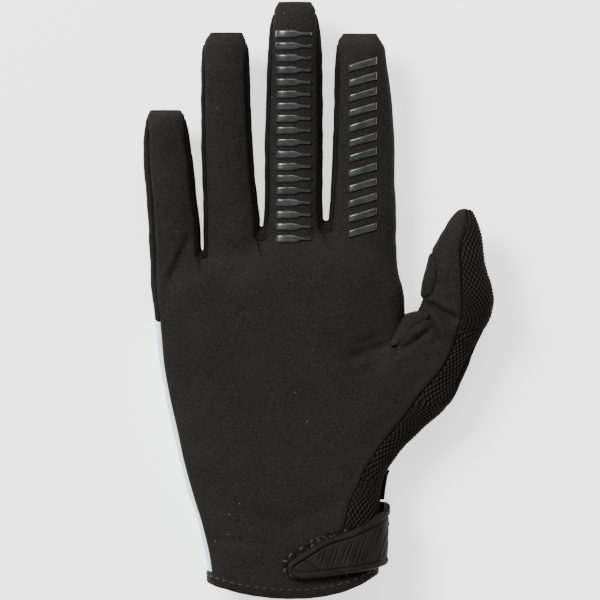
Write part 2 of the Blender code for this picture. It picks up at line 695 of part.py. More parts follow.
def thumb_inset(y, palm_side):
    share = of_table(THUMB_EDGE, (y - SPLIT_Y) / (THUMB_TIP_Y - SPLIT_Y))
    return GUSSET_WIDTH * (share if palm_side else np.minimum(share, -share))


def thumb_front_patch(cells, steps):
    """Front of the thumb from the crotch to the tip, between its inner edge and the mesh."""
    shares = np.linspace(0, 1, cells + 1)
    y = rows_between(np.full(cells + 1, SPLIT_Y), np.full(cells + 1, THUMB_TIP_Y), steps)
    start = edge_on(THUMB_SPAN, lambda at: thumb_inset(at, True), on_left=True)
    stop = edge_on(THUMB_SPAN, lambda at: thumb_column("mesh", at))
    return Patch(THUMB_SPAN, y, start, stop, shares)


def finger_backs():
    """Backs of the four fingers with the knuckles, one sheet."""
    lobes, knuckles = knuckle_row(False, FINGER_CELLS - 1, CROTCH_CELLS, FINGER_STEPS)
    blocks = [patch.layers() for patch in lobes]
    hand = hand_block(False, knuckles, SPLIT_TO_KNUCKLES)
    hand = [layer[BACK_ROW:] for layer in hand]
    blocks.append([trimmed_row(layer, 0, 1) for layer in hand])
    return sheet_mesh("finger_backs", blocks)


def trimmed_row(layer, row, toward):
    """Moves one edge row of a grid half a seam gap into the sheet."""
    moved = layer.copy()
    step = layer[toward] - layer[row]
    moved[row] += step * (SEAM_GAP / 2 / np.linalg.norm(step, axis=1))[:, None]
    return moved


def back_seam_x(y):
    share = (y - CUFF_Y) / (SPLIT_Y - CUFF_Y)
    return of_table(BACK_SEAM, share) * PALM_WIDTH


def hand_back():
    """Pale back of the hand, from the cuff to below the knuckles."""
    _, knuckles = knuckle_row(False, FINGER_CELLS - 1, CROTCH_CELLS, FINGER_STEPS)
    upper = hand_block(False, knuckles, SPLIT_TO_KNUCKLES)
    upper = [layer[: BACK_ROW + 1] for layer in upper]
    upper = [trimmed_row(layer, -1, -2) for layer in upper]
    shares = knuckle_shares(knuckles[0])
    start = edge_on(LOWER, left_edge, on_left=True)
    stop = around(line_on(LOWER, back_seam_x, above=False))
    lower = lower_patch(start, stop, shares).layers()
    for layer in range(2):
        lower[layer][-1] = upper[layer][0]
    return sheet_mesh("hand_back", [lower, upper])


def thumb_side(name, start_low, stop_low, start_high, stop_high):
    """Panel of the thumb's side or back: from the cuff to the crotch, and on to the tip."""
    count = THUMB_CELLS + 1
    shares = np.linspace(0, 1, count)
    y = rows_between(np.full(count, SPLIT_Y), np.full(count, THUMB_TIP_Y), THUMB_STEPS)
    lower = lower_patch(start_low, stop_low, shares, SEAM_GAP).layers()
    upper = Patch(THUMB_SPAN, y, start_high, stop_high, shares, SEAM_GAP).layers()
    for layer in range(2):
        lower[layer][-1] = upper[layer][0]
    return sheet_mesh(name, [lower, upper])


def thumb_mesh():
    return thumb_side(
        "thumb_mesh",
        edge_on(LOWER, lambda y: thumb_column("mesh", y)),
        edge_on(LOWER, lambda y: thumb_column("mesh_end", y)),
        edge_on(THUMB_SPAN, lambda y: thumb_column("mesh", y)),
        edge_on(THUMB_SPAN, lambda y: thumb_column("mesh_end", y)),
    )


def thumb_back():
    return thumb_side(
        "thumb_back",
        around(line_on(LOWER, back_seam_x, above=False)),
        around(edge_on(LOWER, lambda y: thumb_column("mesh_end", y))),
        edge_on(THUMB_SPAN, lambda y: thumb_inset(y, False), on_left=True),
        around(edge_on(THUMB_SPAN, lambda y: thumb_column("mesh_end", y))),
    )


def bowed(top, middle, bottom, cells, trim):
    """Points over a strip's width: from the palm seam round the bulging middle to the back seam.

    The middle stands out, and each half falls back to its seam as part of an ellipse.
    """
    reach = np.radians(STRIP_TURN)
    grid = []
    for share in np.linspace(1, -1, cells + 1):
        turn = abs(share) * reach
        seam = top if share > 0 else bottom
        flat = (1 - np.cos(turn)) / (1 - np.cos(reach))
        rise = np.sin(turn) / np.sin(reach)
        length = np.linalg.norm(seam - middle, axis=-1, keepdims=True)
        short = 1 - np.minimum(trim / length, TRIM_LIMIT)
        point = middle + (seam - middle) * np.array([flat, flat, rise]) * short
        grid.append(point)
    return np.stack(grid, axis=1)


def fourchette(index):
    """Side strip between two fingers: up one, round the crotch and up the other."""
    left, right, base, gap = CROTCHES[index]
    steps = [share for share in FINGER_STEPS if share < 0.96]
    open_y = (base + gap) * PALM_WIDTH
    layers = []
    for depth, inset in enumerate((0.0, WALL)):
        rails = {}
        for side, low in (("palm", True), ("back", False)):
            first = strip_edge(left, "right", low, inset, steps)[::-1]
            second = strip_edge(right, "left", low, inset, steps)
            drop = CROTCH_DROP - SEAM_GAP / 2 + depth * WALL / 2
            turn = crotch_row(first[-1], second[0], base * PALM_WIDTH, CROTCH_CELLS, drop)
            rails[side] = np.concatenate([first, turn, second])
        first = strip_middle(left, "right", inset, steps)[::-1]
        second = strip_middle(right, "left", inset, steps)
        middle = np.concatenate([first, (first[-1:] + second[:1]) / 2, second])
        middle = lifted(middle, open_y - depth * STRIP_SINK)
        layers.append(bowed(rails["palm"], middle, rails["back"], STRIP_CELLS, SEAM_GAP / 2))
    return sheet_mesh(f"fourchette_{left}_{right}", [layers])


def strip_rows(name, which, steps):
    length, _, _, _, base, _, _ = FINGERS[name]
    low = crotch_y(name, which)
    return low + np.asarray(steps) * (length * (base + 1) - low)


def strip_edge(name, which, palm_side, inset, steps):
    y = strip_rows(name, which, steps)
    angle = finger_edge(name, which, palm_side)(y)
    return pointed(FINGER_SPANS[name].point(y, angle, inset))


def strip_middle(name, which, inset, steps):
    y = strip_rows(name, which, steps)
    angle = np.full(len(y), np.pi if which == "left" else 0.0)
    return pointed(FINGER_SPANS[name].point(y, angle, inset))


def lifted(middle, open_y):
    """Turns the middle line round the end of the open gap, above the crotch's seams."""
    low = middle[:, 1] < open_y
    first, last = np.flatnonzero(low)[[0, -1]]
    left = np.interp(open_y, middle[[first, first - 1], 1], middle[[first, first - 1], 0])
    right = np.interp(open_y, middle[[last, last + 1], 1], middle[[last, last + 1], 0])
    centre, half = (left + right) / 2, (right - left) / 2
    turn = np.linspace(0, np.pi, int(low.sum()))
    made = middle.copy()
    made[low, 0] = centre - half * np.cos(turn)
    made[low, 1] = open_y - half * np.sin(turn)
    return made


def thumb_web():
    """Rolled gusset that closes the crotch between palm and thumb."""
    sides = [web_rows(palm_side) for palm_side in (True, False)]
    layers = [np.concatenate([palm, back[::-1][1:]]) for palm, back in zip(*sides)]
    return sheet_mesh("thumb_web", [layers])


def palm_web_edge(palm_side):
    high = OUTER_CROTCH["index"] * PALM_WIDTH
    share = np.array(SPLIT_TO_KNUCKLES[:WEB_ROWS])
    y = SPLIT_Y + (high - SPLIT_Y) * share
    part = of_table(PALM_EDGE, share) * (1 if palm_side else -1)
    return UPPER.point(y, UPPER.edge(y, INDEX_WRAP * part, False), 0.0)


def thumb_web_edge(palm_side):
    share = np.array(THUMB_STEPS[:WEB_ROWS])
    y = SPLIT_Y + (THUMB_TIP_Y - SPLIT_Y) * share
    return THUMB_SPAN.point(y, THUMB_SPAN.edge(y, thumb_inset(y, palm_side), True), 0.0)


def web_rows(palm_side):
    """Rungs from the palm's edge to the thumb's, bulging and dipping in between.

    The first rung is a little above the crotch's corner, and the last is on the silhouette.
    """
    palm, thumb = palm_web_edge(palm_side), thumb_web_edge(palm_side)
    palm[0] += WEB_START * (palm[1] - palm[0])
    thumb[0] += WEB_START * (thumb[1] - thumb[0])
    rung = thumb - palm
    cut = np.minimum(WEB_CLEARANCE / np.linalg.norm(rung, axis=1)[:, None], TRIM_LIMIT)
    start, stop = palm + rung * cut, thumb - rung * cut
    share = np.linspace(0, 1, WEB_CELLS + 1)
    outer = start[:, None] + (stop - start)[:, None] * share[None, :, None]
    bow = 4 * share * (1 - share)
    sign = 1 if palm_side else -1
    turn = np.radians(np.linspace(0, 90, WEB_ROWS))[:, None]
    outer[..., 2] += sign * bow * np.cos(turn) * WEB_BULGE
    outer[..., 1] -= bow * np.sin(turn) * WEB_DIP
    inner = outer.copy()
    inner[..., 2] -= sign * np.cos(turn) * WALL
    inner[..., 1] -= np.sin(turn) * WALL
    return outer, inner


def thumb_side_gusset():
    """Narrow insert along the thumb's inner side."""
    share = np.array([THUMB_STEPS[i] for i in GUSSET_ROWS])
    y = SPLIT_Y + (THUMB_TIP_Y - SPLIT_Y) * share
    grid = np.repeat(y[:, None], 4, axis=1)
    start = edge_on(THUMB_SPAN, lambda at: thumb_inset(at, True), on_left=True)
    stop = edge_on(THUMB_SPAN, lambda at: thumb_inset(at, False), on_left=True)
    patch = Patch(THUMB_SPAN, grid, start, stop, np.linspace(0, 1, 4))
    layers = [pointed(layer) for layer in patch.layers()]
    return sheet_mesh("thumb_side_gusset", [layers])


def pointed(grid):
    """Ends a narrowing strip part of the way along its last row of cells."""
    grid[-1] = grid[-2] + POINT_END * (grid[-1] - grid[-2])
    return grid


def cuff_binding():
    """Bound edge: a rounded band round the wrist's opening, below the panels' lower edge."""
    angle = np.linspace(0, 2 * np.pi, RING_STEPS, endpoint=False)
    y = np.full_like(angle, CUFF_Y)
    x = LOWER.point(y, angle, 0.0)[:, 0]
    top = cuff_line(x, np.sin(angle) >= 0) - SEAM_GAP
    profile = ((-0.7, 0.0), (-1.0, 0.25), (-1.0, 0.75), (-0.6, 1.0), (0.6, 1.0), (1.0, 0.75),
               (1.0, 0.25), (0.7, 0.0))
    centre = BINDING_THICKNESS / 2 - BINDING_OUTSET
    rings = []
    for across, down in profile:
        level = top - down * BINDING_HEIGHT
        ring = LOWER.point(CUFF_Y, angle, centre + across * BINDING_THICKNESS / 2)
        ring[:, 1] = level
        rings.append(ring)
    return closed_ring_mesh("cuff_binding", np.stack(rings))


def closed_ring_mesh(name, rings):
    """Mesh of a closed profile carried round a closed loop."""
    count, around_count = rings.shape[:2]
    index = np.arange(count * around_count).reshape(count, around_count)
    down = np.roll(index, -1, axis=0)
    faces = np.stack([index, np.roll(index, -1, axis=1), np.roll(down, -1, axis=1), down], -1)
    mesh = bpy.data.meshes.new(name)
    mesh.from_pydata(rings.reshape(-1, 3).tolist(), [], faces.reshape(-1, 4).tolist())
    mesh.update()
    return mesh


def strap_edge(name, along):
    return smooth(column(STRAP_ROWS, STRAP_COLUMNS, "along"),
                  column(STRAP_ROWS, STRAP_COLUMNS, name), along)


def strap_patch(margin, reach, columns, rows):
    """Band round the wrist from the strap's tip on the palm side to its root underneath."""
    def start(y):
        return LOWER.edge(y, LOWER.sides(y, 0.0)[1] - STRAP_TIP_X + margin, False)

    def stop(y):
        return LOWER.edge(y, reach(y), False)

    shares = np.linspace(0, 1, columns) ** STRAP_CROWDING
    base = CUFF_Y + STRAP_TIP_UP
    level = np.full((2, columns), base)
    level[1] += MM
    flat = Patch(LOWER, level, start, stop, shares, trim=0.0)
    x = flat.points(0.0)[0, :, 0]
    under = np.sin(flat.angle[0]) < 0
    along = np.where(under, STRAP_UNDER, (x - STRAP_TIP_X + margin) / STRAP_REACH)
    along = np.clip(along, 0, STRAP_UNDER)
    high = base + STRAP_WIDTH * strap_edge("upper", along) + margin
    low = base + STRAP_WIDTH * strap_edge("lower", along) - margin * TAPE_LOW
    return Patch(LOWER, rows_between(low, high, np.linspace(0, 1, rows)), start, stop, shares,
                 trim=0.0)


def closure_strap():
    """Moulded wrist strap, from its tip on the palm round the wrist's side to its root."""
    patch = strap_patch(0.0, lambda y: np.full_like(y, -STRAP_ROOT), *STRAP_CELLS)
    outset = REST_GAP + TAPE_THICKNESS + REST_GAP
    blocks = [patch.layers(outset + STRAP_THICKNESS, STRAP_THICKNESS)]
    return sheet_mesh("closure_strap", blocks)


def hook_tape():
    """Hook tape between the strap's end and the palm."""
    patch = strap_patch(TAPE_MARGIN, lambda y: np.full_like(y, TAPE_END), *TAPE_CELLS)
    return sheet_mesh("hook_tape", [patch.layers(REST_GAP + TAPE_THICKNESS, TAPE_THICKNESS)])


def cuff_tab():
    """Dark tab at the back of the cuff, whose edge shows beside the wrist."""
    columns, rows = TAB_CELLS
    low = np.full(columns, CUFF_Y + TAB_UP)
    y = rows_between(low, low + TAB_LENGTH, np.linspace(0, 1, rows))

    def start(at):
        return LOWER.edge(at, np.full_like(at, -TAB_EDGE), False)

    def stop(at):
        return LOWER.edge(at, np.full_like(at, -TAB_WIDTH), False)

    patch = Patch(LOWER, y, start, stop, np.linspace(0, 1, columns), trim=0.0)
    return sheet_mesh("cuff_tab", [patch.layers(TAB_CLEARANCE + TAB_THICKNESS, TAB_THICKNESS)])


def span_at(span, x, y, inset):
    """Point of a span's palm side over a place in plan."""
    left, right = span.sides(y, inset)
    share = np.clip((2 * x - left - right) / (right - left), -1, 1)
    angle = np.arccos(np.sign(share) * np.abs(share) ** (span.squareness / 2))
    return span.point(y, angle, inset)


def finger_skin(name, x, y, inset):
    """Palm-side skin over a finger, bent into the palm below the crotches as the palm panel is."""
    points = span_at(FINGER_SPANS[name], x, y, inset)
    left, right = FINGER_SPANS[name].sides(y, 0.0)
    low, high = crotch_y(name, "left"), crotch_y(name, "right")
    line = low + (high - low) * (x - left) / (right - left)
    near = np.clip((y - line + KNUCKLE_BLEND) / KNUCKLE_BLEND, 0, 1)
    near = near**2 * (3 - 2 * near)
    flat = span_at(UPPER, x, np.minimum(y, 0.0), inset)
    points[..., 2] = (1 - near) * flat[..., 2] + near * points[..., 2]
    return points


def grip_mesh(name, finger, x, y_low, y_high):
    """Flat bar that follows the finger's skin, a rest gap above it."""
    y = np.stack([y_low, y_high])
    outsets = (REST_GAP + GRIP_THICKNESS, REST_GAP)
    return sheet_mesh(name, [[finger_skin(finger, x, y, -outset) for outset in outsets]])


def middle_grip(index):
    """Tapered bar across the middle finger."""
    name = f"middle_grip_{index + 1:02d}"
    length, _, _, centre, base, _, _ = FINGERS["middle"]
    y = length * base + MIDDLE_GRIP_FIRST + index * MIDDLE_GRIP_PITCH
    along = np.array([row[0] for row in BAR_PROFILE])
    half = np.array([row[1] for row in BAR_PROFILE]) * MIDDLE_GRIP_HEIGHT
    x = centre * PALM_WIDTH - MIDDLE_GRIP_WIDTH / 2 + along * MIDDLE_GRIP_WIDTH
    return grip_mesh(name, "middle", x, y - half, y + half)


def index_grip(index):
    """Slanted bar across the index finger."""
    name = f"index_grip_{index + 1:02d}"
    length, _, _, centre, base, _, _ = FINGERS["index"]
    y = length * base + INDEX_GRIP_FIRST + index * INDEX_GRIP_PITCH
    along = np.linspace(0, 1, 5)
    x = centre * PALM_WIDTH - INDEX_GRIP_WIDTH / 2 + along * INDEX_GRIP_WIDTH
    slant = (along - 0.5) * INDEX_GRIP_SLANT
    half = INDEX_GRIP_HEIGHT / 2
    return grip_mesh(name, "index", x, y + slant - half, y + slant + half)


def centre_on_base(objects):
    """Moves every mesh so that the whole stands centred on the origin, its base at zero."""
    points = np.concatenate([np.array([v.co for v in obj.data.vertices]) for obj in objects])
    low, high = points.min(axis=0), points.max(axis=0)
    shift = -np.array([(low[0] + high[0]) / 2, (low[1] + high[1]) / 2, low[2]])
    for obj in objects:
        count = len(obj.data.vertices)
        flat = np.empty(count * 3)
        obj.data.vertices.foreach_get("co", flat)
        obj.data.vertices.foreach_set("co", (flat.reshape(-1, 3) + shift).ravel())
        obj.data.update()


def build():
    for obj in list(bpy.data.objects):
        bpy.data.objects.remove(obj)
    suede = material("suede", (0.030, 0.029, 0.027), 0.85)
    pale = material("pale_fabric", (0.76, 0.84, 0.90), 0.75)
    stretch = material("stretch_fabric", (0.018, 0.018, 0.019), 0.8)
    mesh = material("air_mesh", (0.015, 0.015, 0.016), 0.7)
    rubber = material("rubber", (0.02, 0.02, 0.02), 0.45)
    binding = material("binding_tape", (0.022, 0.022, 0.022), 0.75)
    hook = material("hook_tape", (0.03, 0.03, 0.03), 0.7)
    silicone = material("silicone", (0.07, 0.075, 0.085), 0.3)
    pieces = [
        ("palm_panel", palm_panel(), suede),
        ("finger_backs", finger_backs(), stretch),
        ("hand_back", hand_back(), pale),
        ("thumb_mesh", thumb_mesh(), mesh),
        ("thumb_back", thumb_back(), stretch),
        ("thumb_web", thumb_web(), suede),
        ("thumb_side_gusset", thumb_side_gusset(), suede),
        ("cuff_binding", cuff_binding(), binding),
        ("closure_strap", closure_strap(), rubber),
        ("hook_tape", hook_tape(), hook),
        ("cuff_tab", cuff_tab(), stretch),
    ]
    for index in range(len(CROTCHES)):
        strip = fourchette(index)
        pieces.append((strip.name, strip, stretch))
    for index in range(MIDDLE_GRIPS):
        bar = middle_grip(index)
        pieces.append((bar.name, bar, silicone))
    for index in range(INDEX_GRIPS):
        bar = index_grip(index)
        pieces.append((bar.name, bar, silicone))
    objects = [add_piece(*piece) for piece in pieces]
    centre_on_base(objects)


build()
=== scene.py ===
"""Motocross glove for the right hand, lying on its back with the palm up.

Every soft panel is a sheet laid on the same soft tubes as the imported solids, on a much finer grid,
with rolled seams, folds and relief. Lengths are in metres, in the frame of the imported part.
"""
from collections import namedtuple

import bpy
import numpy as np
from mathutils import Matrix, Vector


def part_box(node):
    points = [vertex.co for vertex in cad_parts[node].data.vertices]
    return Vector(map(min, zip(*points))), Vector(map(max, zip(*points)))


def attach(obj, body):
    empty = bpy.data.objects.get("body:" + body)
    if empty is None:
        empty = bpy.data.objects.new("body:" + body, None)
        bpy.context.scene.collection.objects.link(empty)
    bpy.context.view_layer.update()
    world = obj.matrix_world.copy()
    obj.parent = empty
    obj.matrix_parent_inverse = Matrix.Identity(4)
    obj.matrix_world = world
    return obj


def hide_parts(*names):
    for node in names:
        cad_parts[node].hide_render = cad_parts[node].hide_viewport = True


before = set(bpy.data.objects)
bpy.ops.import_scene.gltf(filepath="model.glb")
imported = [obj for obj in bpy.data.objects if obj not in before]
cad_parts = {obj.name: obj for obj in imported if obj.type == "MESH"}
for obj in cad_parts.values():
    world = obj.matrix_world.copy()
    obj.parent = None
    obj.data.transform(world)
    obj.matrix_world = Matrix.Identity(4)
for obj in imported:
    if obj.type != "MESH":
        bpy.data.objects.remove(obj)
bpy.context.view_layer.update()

MM = 0.001

# Walls and seams
WALL = 1.2 * MM
SEAM_TRIM = 0.05 * MM
ROLL = 0.85 * MM

# Hand
HAND_LENGTH = 121.5 * MM
PALM_WIDTH = 93.4 * MM
PALM_HALF_DEPTH = 12.5 * MM
PALM_MID_HEIGHT = 12.2 * MM
HAND_SQUARENESS = 3.0

# Fingers
FINGER_HALF_DEPTH = 8.6 * MM
FINGER_MID_HEIGHT = 10.4 * MM
FINGER_CURL = 5.0 * MM
FINGER_STATIONS = 41
FINGER_SQUARENESS = 2.35
TIP_ROUND = 0.6 * MM
TIP_OPEN = 0.04
TIP_ROWS = 6
FOURCHETTE_INSET = 1.6 * MM
LITTLE_WRAP = 2.3 * MM
INDEX_WRAP = 2.6 * MM
CROTCH_DROP = 1.6 * MM
CROTCH_CELLS = 8
KNUCKLE_BLEND = 22.0 * MM
CROTCH_HALF = 6.0 * MM
CROTCH_SHORTER = 0.6
DIP_FROM = 0.72
CALM_SIDES = (3 * MM, 10 * MM)
CALM_WIDTH = 3.2 * MM
CALM_LEAST = 0.05 * MM
CALM_FULL = 4 * MM
CALM_ENDS = (14 * MM, 24 * MM)

# Thumb
THUMB_LENGTH = 51.0 * MM
THUMB_OUT = 35.6 * MM
THUMB_HALF_DEPTH = 11.0 * MM
THUMB_LIFT = 7.0 * MM
THUMB_SQUARENESS = 2.5
THUMB_SPLIT = 85.9 * MM
MESH_WIDTH = 12.0 * MM
GUSSET_WIDTH = 3.1 * MM
WEB_TUCK = 1.3 * MM
WEB_BULGE = 2.3 * MM
WEB_FORWARD = 0.7 * MM
GUSSET_SWELL = 0.7 * MM
MESH_ACROSS = 1.75 * MM
MESH_ALONG = 2.5 * MM
MESH_RELIEF = 0.34 * MM
MESH_THREAD = 19 / MM
MESH_CELLS = 96
THUMB_CELLS = 24
THUMB_BACK_CELLS = 26

# Cuff and strap
CUFF_DROP = 5.2 * MM
CUFF_RISE = 3.2 * MM
CUFF_RISE_POWER = 3
CUFF_EDGE = 2.2 * MM
CUFF_TUCK = 1.3 * MM
BINDING_HEIGHT = 4.8 * MM
BINDING_OUTSET = 0.7 * MM
BINDING_THICKNESS = 2.3 * MM
STITCH_PITCH = 3.1 * MM
STITCH_LENGTH = 2.1 * MM
STITCH_RADIUS = 0.28 * MM
STITCH_SINK = 0.35 * MM
BINDING_SQUARENESS = 0.55
STRAP_THICKNESS = 1.8 * MM
STRAP_WIDTH = 21.0 * MM
STRAP_REACH = 35.5 * MM
STRAP_TIP_X = 5.4 * MM
STRAP_TIP_UP = 1.2 * MM
STRAP_ROOT = 22.0 * MM
STRAP_CLEAR = 1.5 * MM
RIM_HEIGHT = 0.42 * MM
RIM_WIDTH = 2.0 * MM
RIM_GROOVE = 0.35 * MM
TIP_GROOVE = 0.55 * MM
TIP_GROOVE_AT = 7.2 * MM
LINE_DEPTH = 0.34 * MM
LINE_PITCH = 4.4 * MM
LINE_LEAN = 0.35
TAPE_MARGIN = 1.4 * MM
TAPE_LOW = 0.2
TAPE_END = 12.0 * MM
TAB_LENGTH = 11.0 * MM
TAB_UP = 25.6 * MM
TAB_WIDTH = 11.0 * MM
TAB_CELLS = 31
HOOK_BAND = 1.9 * MM
HOOK_RADIUS = 0.085 * MM
HOOK_LEAN = 0.6
HOOK_PITCH = 0.95 * MM

# Grip prints
GRIP_HEIGHT = 0.75 * MM
MIDDLE_GRIPS = 18
MIDDLE_GRIP_PITCH = 4.48 * MM
MIDDLE_GRIP_WIDTH = 13.9 * MM
MIDDLE_GRIP_TALL = 3.0 * MM
MIDDLE_GRIP_FIRST = -2.6 * MM
INDEX_GRIPS = 12
INDEX_GRIP_PITCH = 5.6 * MM
INDEX_GRIP_WIDTH = 11.0 * MM
INDEX_GRIP_TALL = 2.9 * MM
INDEX_GRIP_SLANT = 3.2 * MM
INDEX_GRIP_FIRST = -0.2 * MM

# Camera: width of the photograph at the glove, its centre from the frame's axis, and the lens
PHOTO_WIDTH = 225.0 * MM
PHOTO_CENTRE_X = -6.75 * MM
FOCUS_HEIGHT = 12.0 * MM
CAMERA_AWAY = 1.25
SENSOR_WIDTH = 36.0

# Studio: each softbox's name, place, side and power, then the room's own light and the floor's
SOFTBOXES = (
    ("Key softbox", (-0.85, 0.75, 1.2), 0.6, 54),
    ("Top softbox", (0.1, 1.1, 1.1), 0.7, 11),
    ("Low fill", (0.9, -0.9, 1.0), 1.0, 6),
)
ROOM_LIGHT = 0.42
FLOOR_GLOW = 1.3
FLOOR_HALF = 3.0

# Sections of the hand from the cuff to the knuckle line
HAND_COLUMNS = ("along", "left", "right", "mid", "top", "bottom", "seam")
HAND_ROWS = (
    (0.000, -0.257, 0.412, 1.38, 1.02, 1.02, 0.45),
    (0.056, -0.268, 0.422, 1.36, 1.03, 1.01, 0.50),
    (0.154, -0.300, 0.429, 1.29, 1.03, 0.96, 0.60),
    (0.253, -0.341, 0.432, 1.19, 1.03, 0.95, 0.65),
    (0.352, -0.377, 0.460, 1.10, 1.03, 0.97, 0.65),
    (0.451, -0.405, 0.480, 1.04, 1.02, 1.00, 0.65),
    (0.549, -0.434, 0.496, 1.01, 1.00, 1.02, 0.65),
    (0.648, -0.457, 0.508, 1.00, 1.00, 1.03, 0.65),
    (0.747, -0.469, 0.520, 1.00, 1.00, 1.03, 0.65),
    (0.846, -0.484, 0.524, 1.00, 0.98, 1.03, 0.80),
    (0.944, -0.496, 0.504, 0.98, 0.92, 0.98, 1.00),
    (1.000, -0.500, 0.500, 0.96, 0.86, 0.93, 1.00),
)

# Sections of the thumb and its mound: nought at the cuff, one at the crotch, two at the tip
THUMB_COLUMNS = ("along", "left", "right", "depth", "lift", "mesh", "mesh_end")
THUMB_ROWS = (
    (0.0000, -0.408, -0.001, 0.30, 0.00, 1.12, -0.30),
    (0.1482, -0.454, -0.006, 0.45, 0.00, 1.16, -0.30),
    (0.3235, -0.507, -0.012, 0.62, 0.00, 0.94, -0.30),
    (0.4271, -0.568, -0.011, 0.75, 0.00, 0.69, -0.30),
    (0.4972, -0.629, 0.051, 0.82, 0.00, 0.72, -0.28),
    (0.5674, -0.660, 0.163, 0.90, 0.00, 0.81, -0.25),
    (0.6375, -0.665, 0.315, 0.96, 0.00, 0.91, -0.20),
    (0.7076, -0.623, 0.482, 1.02, 0.00, 1.08, -0.05),
    (0.7777, -0.560, 0.610, 1.08, 0.00, 1.16, 0.10),
    (0.8479, -0.481, 0.668, 1.10, 0.00, 0.94, 0.18),
    (0.9164, -0.380, 0.727, 1.12, 0.00, 0.78, 0.16),
    (0.9865, -0.229, 0.772, 1.14, 0.00, 0.72, 0.10),
    (1.0954, -0.053, 0.832, 1.12, 0.15, 0.80, 0.02),
    (1.2135, 0.120, 0.908, 1.08, 0.34, 0.92, -0.12),
    (1.3316, 0.179, 0.937, 1.05, 0.52, 1.01, -0.25),
    (1.4497, 0.223, 0.928, 1.02, 0.66, 0.94, -0.30),
    (1.5651, 0.294, 0.906, 0.98, 0.78, 0.80, -0.30),
    (1.6833, 0.347, 0.883, 0.90, 0.87, 0.73, -0.25),
    (1.8014, 0.431, 0.864, 0.76, 0.94, 0.56, -0.20),
    (1.8604, 0.484, 0.843, 0.65, 0.97, 0.46, -0.15),
    (1.9195, 0.538, 0.810, 0.50, 0.99, 0.34, -0.08),
    (1.9785, 0.609, 0.769, 0.28, 1.00, 0.19, -0.02),
    (2.0000, 0.642, 0.748, 0.18, 1.00, 0.13, 0.00),
)

# Sections of each finger from its crotch to its tip
FINGER_COLUMNS = ("along", "lean", "width")
LITTLE_ROWS = (
    (0.000, 0.000, 1.000), (0.200, -0.011, 1.000), (0.410, -0.030, 0.970), (0.630, -0.049, 0.965),
    (0.750, -0.060, 0.920), (0.860, -0.064, 0.865), (0.915, -0.065, 0.800), (0.970, -0.066, 0.710),
    (1.000, -0.069, 0.606),
)
RING_ROWS = (
    (0.000, 0.000, 1.070), (0.157, -0.005, 1.037), (0.309, -0.016, 0.985), (0.461, -0.024, 0.963),
    (0.651, -0.029, 0.926), (0.803, -0.031, 0.907), (0.917, -0.031, 0.870), (0.955, -0.031, 0.796),
    (0.983, -0.030, 0.694), (1.000, -0.027, 0.611),
)
MIDDLE_ROWS = (
    (0.000, 0.000, 1.086), (0.088, 0.000, 1.010), (0.228, 0.001, 1.000), (0.368, 0.001, 1.010),
    (0.544, 0.003, 0.983), (0.684, 0.005, 0.966), (0.825, 0.006, 0.914), (0.895, 0.006, 0.862),
    (0.956, 0.006, 0.741), (0.987, 0.006, 0.655), (1.000, 0.006, 0.586),
)
INDEX_ROWS = (
    (0.000, 0.000, 1.078), (0.093, 0.003, 1.047), (0.257, 0.006, 1.000), (0.422, 0.008, 0.969),
    (0.627, 0.006, 0.922), (0.792, -0.002, 0.859), (0.915, -0.009, 0.766), (0.956, -0.013, 0.703),
    (0.982, -0.015, 0.625), (1.000, -0.013, 0.547),
)

# The centre is a share of the palm's width and the base one of the finger's length
Finger = namedtuple("Finger", ("length", "width", "rows", "centre", "base", "left", "right"))
FINGERS = {
    "little": Finger(53.3 * MM, 19.5 * MM, LITTLE_ROWS, -0.3930, -0.028, "wrap", "side"),
    "ring": Finger(78.9 * MM, 20.3 * MM, RING_ROWS, -0.1662, 0.024, "side", "side"),
    "middle": Finger(85.5 * MM, 21.8 * MM, MIDDLE_ROWS, 0.0803, 0.079, "side", "side"),
    "index": Finger(72.9 * MM, 24.0 * MM, INDEX_ROWS, 0.3553, 0.103, "side", "under"),
}
FINGER_DEPTH = (
    (0.0, 1.0), (0.5, 1.0), (0.80, 0.96), (0.90, 0.84), (0.95, 0.66), (0.98, 0.43), (1.0, 0.19),
)
SEAM_FADE = ((0.0, 1.0), (0.80, 1.0), (0.90, 0.6), (0.955, 0.14), (0.97, 0.0), (1.0, 0.0))
CROTCHES = (
    ("little", "ring", -0.016, 0.020),
    ("ring", "middle", 0.056, 0.046),
    ("middle", "index", 0.088, 0.043),
)
OUTER_CROTCH = {"little": -0.016, "index": 0.072}
PALM_EDGE = (
    (0.0, 1.30), (0.126, 0.45), (0.252, 0.0), (0.40, -0.30), (0.55, -0.60), (0.70, -0.85), (1.0, -1.0),
)
THUMB_EDGE = (
    (0.0, 1.15), (0.05, 1.06), (0.10, 0.95), (0.16, 0.72), (0.21, 0.36), (0.25, 0.0),
    (0.34, 0.10), (0.365, 0.95), (0.47, 1.16), (0.59, 0.75), (0.66, 0.12), (0.68, 0.0),
    (0.78, -0.5), (0.88, -0.6), (0.95, -0.15), (1.0, 0.0),
)
BACK_SEAM = ((0.0, 0.347), (0.3, 0.379), (0.6, 0.448), (1.0, 0.480))

# Folds of the palm side, in shares of the palm width, the hand's length and the fold's sizes
FOLD_COLUMNS = ("x_from", "y_from", "x_to", "y_to", "width", "depth")
FOLD_HALF_WIDTH = 5.0 * MM
FOLD_DEPTH = 1.6 * MM
FOLDS = (
    (-0.345, -0.030, -0.440, -0.105, 1.0, 1.0),
    (0.470, -0.285, 0.290, -0.330, 1.0, 0.8),
    (0.600, -0.148, 0.712, -0.204, 0.7, 0.7),
    (0.608, -0.213, 0.644, -0.296, 0.7, 0.6),
    (-0.080, -0.040, -0.020, -0.190, 1.4, 0.35),
    (0.120, -0.030, 0.180, -0.200, 1.3, 0.35),
)
